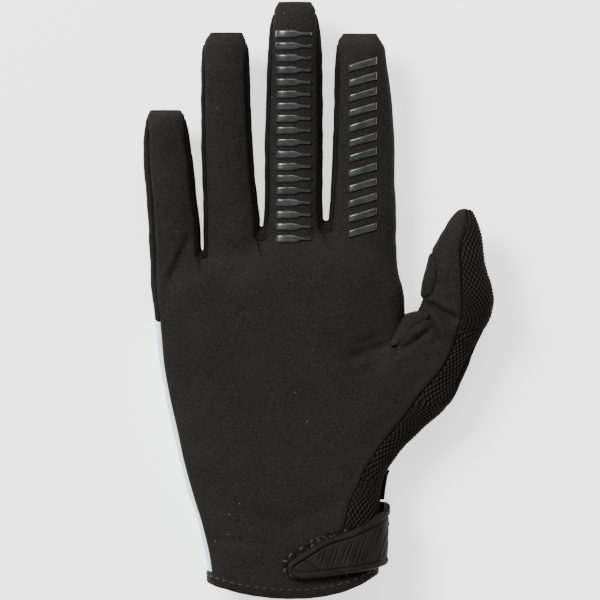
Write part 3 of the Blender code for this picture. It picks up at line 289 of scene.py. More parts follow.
# Finer creases laid over them, as shares of the same sizes; a depth below zero is a ridge
CREASES = (
    (0.482, -0.282, 0.486, -0.330, 0.22, 0.80),
    (0.505, -0.308, 0.625, -0.246, 0.36, 1.10),
    (0.455, -0.290, 0.300, -0.335, 0.50, 0.60),
    (0.440, -0.322, 0.330, -0.356, 0.45, -0.45),
    (0.430, -0.262, 0.330, -0.290, 0.45, 0.35),
    (0.608, -0.165, 0.735, -0.218, 0.34, 1.25),
    (0.612, -0.143, 0.715, -0.188, 0.34, -0.60),
    (0.606, -0.192, 0.655, -0.286, 0.26, 1.15),
    (0.632, -0.196, 0.690, -0.268, 0.42, -0.55),
    (0.565, -0.262, 0.640, -0.345, 0.55, 0.75),
    (0.500, -0.330, 0.585, -0.430, 0.60, 0.55),
    (0.450, -0.350, 0.500, -0.450, 0.60, -0.40),
    (0.640, -0.100, 0.720, -0.120, 0.40, 0.35),
    (-0.330, 0.045, -0.415, -0.095, 0.60, 0.85),
    (-0.378, 0.010, -0.440, -0.090, 0.45, -0.45),
    (-0.415, -0.110, -0.450, -0.210, 0.45, 0.35),
    (-0.160, -0.800, 0.100, -0.830, 0.70, 0.25),
    (-0.230, -0.880, 0.020, -0.900, 0.50, 0.25),
    (0.050, -0.840, 0.250, -0.780, 0.60, 0.25),
    (-0.300, -0.560, -0.180, -0.620, 0.90, 0.25),
    (0.380, -0.420, 0.250, -0.560, 0.90, 0.30),
)

# Rolled pleat in the thumb's crotch: its line and half sizes in millimetres
PLEAT_COLUMNS = ("along", "x", "y", "z", "half", "deep")
PLEAT_ROWS = (
    (0.00, 44.9, -34.2, 18.4, 0.25, 0.4),
    (0.30, 48.9, -30.8, 20.0, 1.45, 1.5),
    (0.62, 52.6, -27.3, 21.0, 2.25, 2.0),
    (0.85, 55.4, -25.3, 22.0, 2.20, 1.9),
    (1.00, 57.9, -24.0, 22.8, 1.20, 1.0),
)

# Rows of cells shared by all panels that meet along them
CUFF_TO_SPLIT = (0.0, 0.10, 0.21, 0.33, 0.45, 0.57, 0.68, 0.79, 0.90, 1.0)
SPLIT_TO_KNUCKLES = (0.0, 0.126, 0.252, 0.40, 0.55, 0.70, 0.85, 1.0)
FINGER_STEPS = (0.0, 0.10, 0.22, 0.38, 0.54, 0.70, 0.82, 0.90, 0.955, 1.0)
THUMB_STEPS = (0.0, 0.125, 0.25, 0.34, 0.46, 0.58, 0.68, 0.78, 0.88, 0.95, 1.0)
BACK_SHARE = 0.252
SPLIT_LEAN = 0.29

# Working counts: dense sections of a patch, waves of a ripple, rows averaged each way, points a slab
PATCH_ROWS = 150
PATCH_FAN = 260
WAVES = 14
STEADY_ROWS = 7
SLAB = 3000
WELD = 0.01 * MM

# Strap outline: reach, upper and lower edge; grip bar: half height along it
STRAP_COLUMNS = ("along", "upper", "lower")
STRAP_ROWS = (
    (0.00, 0.054, -0.010), (0.03, 0.130, -0.090), (0.14, 0.268, -0.160), (0.38, 0.530, -0.125),
    (0.57, 0.640, -0.080), (0.78, 0.815, -0.030), (0.92, 0.985, 0.030), (1.00, 1.090, 0.060),
    (1.30, 1.120, 0.070), (3.00, 1.100, 0.070),
)
BAR_PROFILE = (
    (0.0, 0.5), (0.46, 0.5), (0.58, 0.40), (0.66, 0.23), (0.86, 0.18), (0.93, 0.22), (1.0, 0.20),
)


def smooth(stations, values, at):
    """A cubic through the rows that never overshoots them."""
    x = np.asarray(stations, float)
    y = np.asarray(values, float)
    at = np.clip(np.asarray(at, float), x[0], x[-1])
    step = np.diff(x)
    rise = np.diff(y) / step
    slope = np.zeros_like(y)
    same = rise[:-1] * rise[1:] > 0
    total = np.where(same, rise[:-1] + rise[1:], 1.0)
    slope[1:-1] = np.where(same, 2 * rise[:-1] * rise[1:] / total, 0.0)
    slope[0], slope[-1] = rise[0], rise[-1]
    i = np.clip(np.searchsorted(x, at, side="right") - 1, 0, len(step) - 1)
    t = (at - x[i]) / step[i]
    value = y[i] * (1 + 2 * t) * (1 - t) ** 2 + y[i + 1] * t * t * (3 - 2 * t)
    return value + step[i] * (slope[i] * t * (1 - t) ** 2 - slope[i + 1] * t * t * (1 - t))


def of_table(table, at):
    """A table of two columns, read smoothly."""
    return smooth([row[0] for row in table], [row[1] for row in table], at)


def column(rows, names, name):
    return np.array([row[names.index(name)] for row in rows])


def along_rows(rows, names, name, at):
    """One column of a table of sections, read smoothly at places along it."""
    return smooth(column(rows, names, "along"), column(rows, names, name), at)


def ease(low, high, value):
    """Nought below low, one above high, and a smooth step between."""
    t = np.clip((value - low) / (high - low), 0, 1)
    return t * t * (3 - 2 * t)


def refined(shares, parts):
    """The shares with each step cut into equal parts."""
    steps = len(shares) - 1
    return np.interp(np.arange(steps * parts + 1) / parts, np.arange(steps + 1), shares)


def crowded(cells, pull=0.7):
    """Shares from nought to one that crowd at both ends: t less a share of the sine of its turn."""
    t = np.linspace(0, 1, cells + 1)
    return t - pull * np.sin(2 * np.pi * t) / (2 * np.pi)


def troughs(x, y, rows):
    """Sum of soft troughs: each the exponential of minus the squared distance from its line."""
    total = np.zeros(np.broadcast(x, y).shape)
    for row in rows:
        fold = dict(zip(FOLD_COLUMNS, row))
        start = np.array([fold["x_from"] * PALM_WIDTH, fold["y_from"] * HAND_LENGTH])
        way = np.array([fold["x_to"] * PALM_WIDTH, fold["y_to"] * HAND_LENGTH]) - start
        length = np.hypot(*way)
        along = ((x - start[0]) * way[0] + (y - start[1]) * way[1]) / length
        across = ((x - start[0]) * way[1] - (y - start[1]) * way[0]) / length
        half = fold["width"] * FOLD_HALF_WIDTH
        past = np.maximum(np.abs(along - length / 2) - length / 2 + half, 0)
        trough = np.exp(-2 * (across / half) ** 2 - (past / half) ** 2)
        total = total + fold["depth"] * FOLD_DEPTH * trough
    return total


def ripples(x, y, length, seed):
    """Sum of waves of about one length and of all directions, within about plus or minus one."""
    chance = np.random.default_rng(seed)
    turn = chance.uniform(0, np.pi, WAVES)
    phase = chance.uniform(0, 2 * np.pi, WAVES)
    pitch = 2 * np.pi / (length * chance.uniform(0.75, 1.35, WAVES))
    total = np.zeros(np.broadcast(x, y).shape)
    for angle, start, rate in zip(turn, phase, pitch):
        total = total + np.cos(rate * (x * np.cos(angle) + y * np.sin(angle)) + start)
    return total / np.sqrt(2 * WAVES)


class Tube:
    """Soft tube along Y: at each Y its left and right sides, middle height and half depths."""

    def __init__(self, y, left, right, mid, top, bottom, squareness):
        self.y = y
        self.columns = {"left": left, "right": right, "mid": mid, "top": top, "bottom": bottom}
        self.squareness = squareness

    def get(self, name, y):
        return smooth(self.y, self.columns[name], y)

    def depth(self, x, y, inset, above):
        """Half depth at x: the squared ellipse between the two sides."""
        left = self.get("left", y) + inset
        right = self.get("right", y) - inset
        half = (right - left) / 2
        share = np.clip(np.abs((x - (left + right) / 2) / half), 0, 1)
        full = np.where(above, self.get("top", y), self.get("bottom", y)) - inset
        return np.maximum(full, 0) * (1 - share**self.squareness) ** (1 / self.squareness)


class Span:
    """One or two tubes side by side under one skin, which is the smooth union of them."""

    def __init__(self, tubes, first, last, squareness):
        self.tubes = tubes
        self.first = first
        self.last = last
        self.squareness = squareness

    def sides(self, y, inset):
        return self.first.get("left", y) + inset, self.last.get("right", y) - inset

    def point(self, y, angle, inset):
        """Skin at a section angle: x by the squared cosine, z by the tubes' union less the folds."""
        left, right = self.sides(y, inset)
        cosine = np.cos(angle)
        x = (left + right) / 2
        x = x + (right - left) / 2 * np.sign(cosine) * np.abs(cosine) ** (2 / self.squareness)
        above = np.sin(angle) >= 0
        power = 2 * HAND_SQUARENESS
        total = sum(tube.depth(x, y, inset, above) ** power for tube in self.tubes)
        height = total ** (1 / power)
        crown = height / self.last.get("top", y)
        height = height - np.where(above, troughs(x, y, FOLDS) * np.clip(2 * crown - 1, 0, 1), 0)
        z = self.last.get("mid", y) + np.where(above, 1, -1) * height
        return np.stack(np.broadcast_arrays(x, y, np.maximum(z, inset)), axis=-1)

    def edge(self, y, inset, on_left):
        """Section angle of the edge at a signed inset from a side: below zero underneath."""
        left, right = self.sides(y, 0.0)
        share = np.clip(1 - np.abs(inset) / ((right - left) / 2), -1, 1)
        angle = np.sign(inset) * np.arccos(np.sign(share) * np.abs(share) ** (self.squareness / 2))
        return np.pi - angle if on_left else angle


SPLIT_Y = THUMB_SPLIT - HAND_LENGTH
THUMB_TIP_Y = SPLIT_Y + THUMB_LENGTH


def make_hand():
    """Tube of the palm and wrist, from the cuff to the knuckle line."""
    parts = [column(HAND_ROWS, HAND_COLUMNS, name) for name in HAND_COLUMNS]
    along, left, right, mid, top, bottom, _ = parts
    return Tube((along - 1) * HAND_LENGTH, left * PALM_WIDTH, right * PALM_WIDTH, mid * PALM_MID_HEIGHT,
                top * PALM_HALF_DEPTH, bottom * PALM_HALF_DEPTH, HAND_SQUARENESS)


def make_thumb(hand):
    """Tube of the thumb and its mound, which hangs on the hand's right side."""
    parts = [column(THUMB_ROWS, THUMB_COLUMNS, name) for name in THUMB_COLUMNS]
    along, left, right, depth, lift, _, _ = parts
    y = np.interp(along, (0, 1, 2), (-HAND_LENGTH, SPLIT_Y, THUMB_TIP_Y))
    side = hand.get("right", y)
    half = depth * THUMB_HALF_DEPTH
    return Tube(y, side + left * THUMB_OUT, side + right * THUMB_OUT,
                hand.get("mid", y) + lift * THUMB_LIFT, half, half, THUMB_SQUARENESS)


def make_finger(name):
    """Tube of one finger: its centre leans by a share of the length and its width by one of itself."""
    finger = FINGERS[name]
    along = np.linspace(0, 1, FINGER_STATIONS)
    lean = along_rows(finger.rows, FINGER_COLUMNS, "lean", along)
    middle = PALM_WIDTH * finger.centre + finger.length * lean
    half = finger.width / 2 * along_rows(finger.rows, FINGER_COLUMNS, "width", along)
    depth = FINGER_HALF_DEPTH * of_table(FINGER_DEPTH, along)
    mid = FINGER_MID_HEIGHT + FINGER_CURL * along**2
    return Tube(finger.length * (finger.base + along), middle - half, middle + half, mid, depth,
                depth, FINGER_SQUARENESS)


HAND = make_hand()
THUMB = make_thumb(HAND)
DIGITS = {name: make_finger(name) for name in FINGERS}
LOWER = Span((HAND, THUMB), HAND, THUMB, HAND_SQUARENESS)
UPPER = Span((HAND, THUMB), HAND, HAND, HAND_SQUARENESS)
THUMB_SPAN = Span((THUMB,), THUMB, THUMB, THUMB_SQUARENESS)
FINGER_SPANS = {name: Span((tube,), tube, tube, FINGER_SQUARENESS) for name, tube in DIGITS.items()}
CUFF_Y = CUFF_EDGE - HAND_LENGTH


def find_place():
    """Shift from the tubes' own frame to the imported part's, read from the first grip bar's box."""
    low, high = (np.array(corner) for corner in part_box("middle_grip_01"))
    finger = FINGERS["middle"]
    made = np.array([finger.centre * PALM_WIDTH, finger.length * finger.base + MIDDLE_GRIP_FIRST])
    middle = (low + high)[:2] / 2
    return np.array([*(middle - made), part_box("hand_back")[0][2]])


PLACE = find_place()


class Patch:
    """Grid of points on a span, between two edges given as functions of Y."""

    def __init__(self, span, y_grid, start, stop, shares, trim=SEAM_TRIM):
        """Each column keeps its share of the length of skin from the first edge to the second."""
        self.span = span
        self.y = np.asarray(y_grid, float)
        ys = np.linspace(self.y.min() - MM, self.y.max() + MM, PATCH_ROWS)
        first, last = start(ys), stop(ys)
        fans = first[:, None] + (last - first)[:, None] * np.linspace(0, 1, PATCH_FAN)
        points = span.point(ys[:, None], fans, 0.0)
        steps = np.linalg.norm(np.diff(points[..., [0, 2]], axis=1), axis=2)
        arc = np.concatenate([np.zeros((len(ys), 1)), np.cumsum(steps, axis=1)], axis=1)
        cut = np.minimum(trim, arc[:, -1] / 4)
        wanted = cut[:, None] + (arc[:, -1] - 2 * cut)[:, None] * np.asarray(shares)
        dense = np.stack([np.interp(wanted[i], arc[i], fans[i]) for i in range(len(ys))])
        columns = range(self.y.shape[1])
        self.angle = np.stack([np.interp(self.y[:, j], ys, dense[:, j]) for j in columns], axis=1)

    def points(self, inset):
        return self.span.point(self.y, self.angle, inset)

    def layers(self, outset=0.0, thickness=WALL):
        return [self.points(-outset), self.points(thickness - outset)]


def rows_between(low, high, shares):
    """Rows at shares of the way from one line to another, each given column by column."""
    return low + np.asarray(shares)[:, None] * (high - low)


def thumb_rows(columns, parts):
    """Level rows from the thumb's crotch to its tip."""
    low, high = np.full(columns, SPLIT_Y), np.full(columns, THUMB_TIP_Y)
    return rows_between(low, high, refined(THUMB_STEPS, parts))


def left_edge(y):
    """Inset of the seam between palm and back on the little finger's side."""
    return LITTLE_WRAP * smooth(HAND.y, column(HAND_ROWS, HAND_COLUMNS, "seam"), y)


def thumb_column(name, y):
    return smooth(THUMB.y, column(THUMB_ROWS, THUMB_COLUMNS, name), y) * MESH_WIDTH


def low_split_x(y):
    """Line in the palm below the thumb's crotch, on which the thumb's columns start."""
    share = np.clip((y - CUFF_Y) / (SPLIT_Y - CUFF_Y), 0, 1)
    corner = HAND.get("right", SPLIT_Y) - INDEX_WRAP * of_table(PALM_EDGE, 0.0)
    return corner - (1 - share) * SPLIT_LEAN * PALM_WIDTH


def edge_on(span, inset_at, on_left=False):
    """A panel's edge, as a section angle at each Y, from its inset off a side."""
    return lambda y: span.edge(y, inset_at(y), on_left)


def line_on(span, x_at, above=True):
    """The same from the X of a line over the skin or underneath."""
    sign = 1 if above else -1
    return lambda y: span.edge(y, sign * (span.sides(y, 0.0)[1] - x_at(y)), False)


def around(angle_at):
    """The same edge, counted from the left side round underneath."""
    return lambda y: angle_at(y) + 2 * np.pi


def finger_edge(name, which, palm_side):
    """Edge of a finger's palm or back sheet: along a side strip, or a shared wrapped seam."""
    finger = FINGERS[name]
    kind = finger.left if which == "left" else finger.right
    sign = 1 if palm_side else -1
    full = {"side": sign * FOURCHETTE_INSET, "wrap": LITTLE_WRAP, "under": -INDEX_WRAP}[kind]
    span = FINGER_SPANS[name]

    def angle(y):
        share = of_table(SEAM_FADE, y / finger.length - finger.base)
        return span.edge(y, full * share, which == "left")

    return angle


def crotch_y(name, which):
    """Y of the crotch at a finger's left or right side."""
    for left, right, base, _ in CROTCHES:
        if (left, which) == (name, "right") or (right, which) == (name, "left"):
            return base * PALM_WIDTH
    return OUTER_CROTCH[name] * PALM_WIDTH


def tip_y(name):
    return FINGERS[name].length * (FINGERS[name].base + 1)


def lobe(name, palm_side, shares, steps):
    """Sheet of one finger from the crotch line to its tip."""
    low = crotch_y(name, "left") + (crotch_y(name, "right") - crotch_y(name, "left")) * shares
    y = rows_between(low, np.full(len(shares), tip_y(name)), steps)
    start = finger_edge(name, "left", palm_side)
    stop = finger_edge(name, "right", palm_side)
    return Patch(FINGER_SPANS[name], y, start, stop if palm_side else around(stop), shares)


def crotch_row(left_end, right_start, base, cells, drop):
    """Points round a crotch: half an ellipse in plan between two fingers' edges."""
    turn = np.linspace(0, np.pi, cells + 1)[1:-1]
    middle = (left_end + right_start) / 2
    half = (right_start - left_end) / 2
    row = middle - np.cos(turn)[:, None] * half
    row[:, 1] = base - drop * np.sin(turn)
    return row


def closed_tip(layers):
    """Sheet turned in over the fingertip by a quarter ellipse, down to the height of its seam."""
    seam = (layers[0][-1, 0, 2] + layers[0][-1, -1, 2]) / 2
    turn = np.linspace(0, np.pi / 2, TIP_ROWS + 1)[1:, None]
    side = np.linspace(-1, 1, layers[0].shape[1])
    closed = []
    for layer, reach in zip(layers, (TIP_ROUND, TIP_ROUND - WALL)):
        rows = np.repeat(layer[-1:], len(turn), axis=0)
        rows[..., 1] += reach * (1 - side**6) * np.sin(turn)
        rows[..., 2] = seam + (rows[..., 2] - seam) * (TIP_OPEN + (1 - TIP_OPEN) * np.cos(turn))
        closed.append(np.concatenate([layer, rows]))
    return closed


def knuckle_row(palm_side, shares, steps):
    """The finger sheets' first rows joined round the crotches, for the outer and inner layer."""
    lobes = [lobe(name, palm_side, shares, steps) for name in FINGERS]
    layers = []
    for depth, points in enumerate(zip(*[patch.layers() for patch in lobes])):
        row = [points[0][0]]
        for i, (_, _, base, _) in enumerate(CROTCHES):
            drop = CROTCH_DROP + SEAM_TRIM + depth * WALL / 2
            row.append(crotch_row(points[i][0][-1], points[i + 1][0][0], base * PALM_WIDTH,
                                  CROTCH_CELLS, drop))
            row.append(points[i + 1][0])
        layers.append(np.concatenate(row))
    return lobes, layers


def knuckle_shares(row):
    """Shares of the row's length, in which height counts for half."""
    step = np.diff(row[:, [0, 2]], axis=0) * (1.0, 0.5)
    length = np.concatenate([[0.0], np.cumsum(np.linalg.norm(step, axis=1))])
    return length / length[-1]


def hand_block(palm_side, knuckles, steps):
    """Rows from the thumb's crotch to the knuckles, bent into the fingers' first rows."""
    level = knuckles[0][:, 1]
    index = np.arange(len(level))
    period = (len(level) + CROTCH_CELLS - 1) // len(FINGERS)
    on_finger = index % period <= period - CROTCH_CELLS
    straight = np.interp(index, index[on_finger], level[on_finger])
    y = rows_between(np.full(len(level), SPLIT_Y), straight, steps)
    y -= ease(DIP_FROM, 1.0, steps)[:, None] * (straight - level)
    high = OUTER_CROTCH["index"] * PALM_WIDTH

    def right_inset(at):
        part = of_table(PALM_EDGE, (at - SPLIT_Y) / (high - SPLIT_Y))
        return INDEX_WRAP * (part if palm_side else np.minimum(part, -part))

    start = edge_on(UPPER, left_edge, on_left=True)
    stop = edge_on(UPPER, right_inset)
    patch = Patch(UPPER, y, start, stop if palm_side else around(stop), knuckle_shares(knuckles[0]))
    spans = [(FINGER_SPANS[left], FINGER_SPANS[right]) for left, right, _, _ in CROTCHES]
    gaps = [(left.sides(0.0, 0.0)[1], right.sides(0.0, 0.0)[0]) for left, right in spans]
    centres = np.mean(gaps, axis=1)
    beside = np.abs(knuckles[0][:, 0, None] - centres).min(axis=1)
    blend = KNUCKLE_BLEND * (1 - CROTCH_SHORTER * np.exp(-((beside / CROTCH_HALF) ** 2)))
    near = ease(0, 1, (y - level + blend) / blend)[..., None]
    blocks = []
    for flat, row in zip(patch.layers(), knuckles):
        bent = (1 - near) * flat + near * row
        bent[..., 1] = y
        bent[..., 2] = calmed(bent, level - y)
        bent[-1] = row
        blocks.append(bent)
    return blocks


def calmed(grid, below):
    """Heights averaged over each row by a bell curve, widest a little below the knuckle line."""
    x, z = grid[..., 0], grid[..., 2]
    side = np.minimum(np.abs(x - x[:, :1]), np.abs(x[:, -1:] - x))
    share = ease(*CALM_SIDES, side)
    width = CALM_WIDTH * ease(0, CALM_FULL, below) * (1 - ease(*CALM_ENDS, below)) + CALM_LEAST
    weight = np.exp(-(((x[:, :, None] - x[:, None]) / width[..., None]) ** 2))
    weight = weight * (np.abs(np.gradient(x, axis=1)) * share + 1e-9)[:, None]
    return z + share * ((weight @ z[..., None])[..., 0] / weight.sum(axis=2) - z)


def cuff_line(x, above):
    """Y of the panels' lower edge: level at the back, dipping over the palm side."""
    left, right = LOWER.sides(CUFF_Y, 0.0)
    share = np.clip((2 * x - left - right) / (right - left), -1, 1)
    level = CUFF_Y + CUFF_RISE * np.clip(share, 0, 1) ** CUFF_RISE_POWER
    return level - np.where(above, CUFF_DROP * (1 - share**2), 0.0)


def lower_patch(start, stop, shares, steps):
    """Rows from the cuff to the thumb's crotch, with the lower edge on the cuff line."""
    level = np.full((2, len(shares)), CUFF_Y)
    level[1] += MM
    first = Patch(LOWER, level, start, stop, shares)
    low = cuff_line(first.points(0.0)[0, :, 0], np.sin(first.angle[0]) >= 0) - CUFF_TUCK
    return Patch(LOWER, rows_between(low, np.full(len(low), SPLIT_Y), steps), start, stop, shares)


def thumb_inset(y, palm_side):
    """Inset of the thumb's inner seam: the back panel keeps to the far side of it."""
    share = of_table(THUMB_EDGE, (y - SPLIT_Y) / (THUMB_TIP_Y - SPLIT_Y))
    return GUSSET_WIDTH * (share if palm_side else np.minimum(share, -share))


# Meshes

def vertex_normals(points, faces):
    """Sum of the turned faces' normals at each point, made one long."""
    corner = points[faces]
    normal = np.cross(corner[:, 2] - corner[:, 0], corner[:, 3] - corner[:, 1])
    total = np.zeros_like(points)
    for axis in range(3):
        weight = np.repeat(normal[:, axis], 4)
        total[:, axis] = np.bincount(faces.ravel(), weight, len(points))
    return total / np.maximum(np.linalg.norm(total, axis=1, keepdims=True), 1e-12)


def distance_to(points, targets):
    """Distance from each point to the nearest target, worked out in slabs of points."""
    found = []
    for start in range(0, len(points), SLAB):
        part = points[start:start + SLAB]
        square = (part**2).sum(1)[:, None] + (targets**2).sum(1) - 2 * part @ targets.T
        found.append(np.sqrt(np.maximum(square.min(axis=1), 0)))
    return np.concatenate(found)


def cloth_map(grid):
    """Lengths across and along the cloth from the foot of the middle column.

    Each step along a row is split into its share along the middle column's way and the rest.
    """
    middle = grid.shape[1] // 2
    way = np.gradient(grid[:, middle], axis=0)
    way = way / np.linalg.norm(way, axis=1, keepdims=True)
    step = np.diff(grid, axis=1)
    up = np.sum(step * way[:, None], axis=2)
    side = np.sqrt(np.maximum(np.sum(step**2, axis=2) - up**2, 0))
    total = [np.concatenate([np.zeros((len(grid), 1)), np.cumsum(part, axis=1)], axis=1)
             for part in (side, up)]
    across, along = [steadied(part - part[:, [middle]]) for part in total]
    rise = np.linalg.norm(np.diff(grid[:, middle], axis=0), axis=1)
    return np.stack([across, along + np.concatenate([[0.0], np.cumsum(rise)])[:, None]], axis=-1)


def steadied(values):
    """Each value averaged with those of the rows above and below it."""
    longer = np.pad(values, ((STEADY_ROWS, STEADY_ROWS), (0, 0)), mode="edge")
    count = 2 * STEADY_ROWS + 1
    return sum(longer[i:i + len(values)] for i in range(count)) / count


def grid_faces(blocks):
    """Four-cornered faces of the grids, numbered one grid after another."""
    faces = []
    start = 0
    for block in blocks:
        rows, cols = block.shape[:2]
        index = start + np.arange(rows * cols).reshape(rows, cols)
        face = np.stack([index[:-1, :-1], index[:-1, 1:], index[1:, 1:], index[1:, :-1]], -1)
        faces.append(face.reshape(-1, 4))
        start += rows * cols
    return np.concatenate(faces)


def put_mesh(name, points, faces, corners, sharp=60):
    """Mesh from whole arrays, smooth shaded, with a Cloth map in metres at every face corner."""
    mesh = bpy.data.meshes.new(name)
    mesh.from_pydata((points + PLACE).tolist(), [], faces.tolist())
    layer = mesh.uv_layers.new(name="Cloth")
    layer.data.foreach_set("uv", corners.reshape(-1, 2).astype(np.float32).ravel())
    mesh.update()
    mesh.shade_smooth()
    mesh.set_sharp_from_angle(angle=np.radians(sharp))
    return mesh


def shell(name, blocks, finish, nodes, roll=ROLL, ripple=None, relief=None, sharp=60):
    """One closed sheet from pairs of outer and inner grids that share the points on their joins.

    The outer layer sinks along its normal by a quarter circle of radius roll towards every open
    edge, so that seams look turned in. The ripple moves both layers and the relief the outer one.
    """
    outer = np.concatenate([block[0].reshape(-1, 3) for block in blocks])
    inner = np.concatenate([block[1].reshape(-1, 3) for block in blocks])
    cloth = np.concatenate([cloth_map(block[0]).reshape(-1, 2) for block in blocks])
    loose = grid_faces([block[0] for block in blocks])
    _, first, same = np.unique(np.round(outer / WELD), axis=0, return_index=True,
                               return_inverse=True)
    outer, inner, at = outer[first], inner[first], cloth[first]
    faces = same.reshape(-1)[loose]
    corner = outer[faces]
    normal = np.cross(corner[:, 2] - corner[:, 0], corner[:, 3] - corner[:, 1])
    if np.sum(normal * (outer - inner)[faces[:, 0]]) < 0:
        faces, loose = faces[:, ::-1], loose[:, ::-1]
    count = len(outer)
    edges = np.concatenate([faces[:, [i, (i + 1) % 4]] for i in range(4)])
    forward = edges[:, 0] * count + edges[:, 1]
    rim = edges[~np.isin(forward, edges[:, 1] * count + edges[:, 0])]
    normal = vertex_normals(outer, faces)
    away = distance_to(outer, outer[np.unique(rim)])
    radius = roll(outer) if callable(roll) else roll
    if ripple is not None:
        move = normal * ripple(outer, away)[:, None]
        outer, inner = outer + move, inner + move
    near = np.clip(1 - away / radius, 0, 1)
    lift = -radius * (1 - np.sqrt(1 - near**2))
    if relief is not None:
        lift = lift + relief(outer, away, at)
    outer = outer + normal * lift[:, None]
    outer[:, 2] = np.maximum(outer[:, 2], 0.0)
    walls = np.stack([rim[:, 1], rim[:, 0], rim[:, 0] + count, rim[:, 1] + count], -1)
    every = np.concatenate([faces, faces[:, ::-1] + count, walls])
    twice = np.concatenate([at, at])
    corners = np.concatenate([cloth[loose], cloth[loose[:, ::-1]], twice[walls]])
    mesh = put_mesh(name, np.concatenate([outer, inner]), every, corners, sharp)
    add_piece(name, mesh, finish, nodes)


def put_object(name, data):
    obj = bpy.data.objects.new(name, data)
    bpy.context.scene.collection.objects.link(obj)
    return obj


def add_piece(name, mesh, finish, nodes):
    """A dressed piece: its finish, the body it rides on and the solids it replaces."""
    obj = put_object(name, mesh)
    mesh.materials.append(finish.material)
    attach(obj, "root")
    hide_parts(*nodes)


# Finishes

class Signal:
    """A shader value that Python arithmetic turns into Math nodes."""

    def __init__(self, finish, socket):
        self.finish = finish
        self.socket = socket

    def calculate(self, operation, *values):
        return self.finish.node("ShaderNodeMath", {"operation": operation}, dict(enumerate(values)))

    def __add__(self, other):
        return self.calculate("ADD", self, other)

    __radd__ = __add__

    def __mul__(self, other):
        return self.calculate("MULTIPLY", self, other)

    __rmul__ = __mul__

    def __rsub__(self, other):
        return self.calculate("SUBTRACT", other, self)

    def sine(self):
        return self.calculate("SINE", self)

    def span(self, low, high):
        """Nought below low, one above high, and a smooth step between."""
        values = {"Value": self, "From Min": low, "From Max": high}
        return self.finish.node("ShaderNodeMapRange", {"interpolation_type": "SMOOTHSTEP"}, values)


class Finish:
    """One material and the record's slot for it."""

    def __init__(self, name, slot, specular=0.5, **sockets):
        """Sets plain numbers and colours straight on the shader's own sockets."""
        self.slot = slot
        self.material = bpy.data.materials.new(name)
        self.material.use_nodes = True
        self.tree = self.material.node_tree
        self.shader = self.tree.nodes["Principled BSDF"]
        self.shader.inputs["Specular IOR Level"].default_value = specular
        for key, value in sockets.items():
            self.shader.inputs[key.replace("_", " ").title()].default_value = value

    def node(self, kind, settings=None, inputs=None, output=0):
        """Adds a node: its settings first, then the values or links of its sockets."""
        made = self.tree.nodes.new(kind)
        for key, value in (settings or {}).items():
            setattr(made, key, value)
        for key, value in (inputs or {}).items():
            if isinstance(value, Signal):
                self.tree.links.new(value.socket, made.inputs[key])
            else:
                made.inputs[key].default_value = value
        return Signal(self, made.outputs[output])

    def place(self):
        return self.node("ShaderNodeTexCoord", output="Object")

    def cloth(self):
        """The two lengths of the Cloth map."""
        where = self.node("ShaderNodeUVMap", {"uv_map": "Cloth"})
        return [self.node("ShaderNodeSeparateXYZ", {}, {0: where}, axis) for axis in (0, 1)]

    def noise(self, size, detail=2.0, rough=0.5):
        """Fractal noise with features of about one size."""
        inputs = {"Vector": self.place(), "Scale": 1 / size, "Detail": detail, "Roughness": rough}
        return self.node("ShaderNodeTexNoise", {}, inputs, "Fac")

    def specks(self, size, radius, chance):
        """Round specks, one in some of the cells of the given size."""
        inputs = {"Vector": self.place(), "Scale": 1 / size}
        near = self.node("ShaderNodeTexVoronoi", {}, inputs, "Distance")
        colour = self.node("ShaderNodeTexVoronoi", {}, inputs, "Color")
        pick = self.node("ShaderNodeSeparateColor", {}, {0: colour}, 0)
        round_spot = 1 - near.span(radius / size * 0.5, radius / size)
        return round_spot * pick.span(1 - chance, 1.001 - chance)

    def mix(self, share, low, high):
        """One colour or node at a share of nought, the other at one."""
        low = (*low, 1.0) if isinstance(low, tuple) else low
        high = (*high, 1.0) if isinstance(high, tuple) else high
        return self.node("ShaderNodeMix", {"data_type": "RGBA"}, {0: share, 6: low, 7: high}, 2)

    def finish(self, colour, roughness=None, height=None, depth=0.0):
        """Links the colour, and where they are given the roughness and a bump of the height."""
        self.tree.links.new(colour.socket, self.shader.inputs["Base Color"])
        if roughness is not None:
            self.tree.links.new(roughness.socket, self.shader.inputs["Roughness"])
        if height is not None:
            inputs = {"Height": height, "Distance": depth, "Strength": 1.0}
            bump = self.node("ShaderNodeBump", {}, inputs)
            self.tree.links.new(bump.socket, self.shader.inputs["Normal"])
        return self


def make_suede():
    """Napped synthetic suede: mottled dark grey with a fine fuzz and tiny pale fibres."""
    f = Finish("Napped suede", "suede", 0.06, sheen_weight=0.015, sheen_roughness=0.45,
               sheen_tint=(0.9, 0.88, 0.84, 1))
    fuzz = f.noise(0.42 * MM, 3.0, 0.65)
    nap = f.noise(1.3 * MM, 2.0, 0.6)
    broad = f.noise(14 * MM, 2.0, 0.5)
    tone = fuzz * 0.80 + nap * 0.11 + broad * 0.09
    colour = f.mix(tone.span(0.34, 0.66), (0.0050, 0.0046, 0.0036), (0.0180, 0.0168, 0.0140))
    colour = f.mix(f.specks(2.0 * MM, 0.19 * MM, 0.20), colour, (0.055, 0.051, 0.044))
    colour = f.mix(f.specks(4.1 * MM, 0.24 * MM, 0.34), colour, (0.13, 0.122, 0.105))
    return f.finish(colour, 0.82 + fuzz * 0.16, fuzz * 0.7 + nap * 0.5, 0.22 * MM)


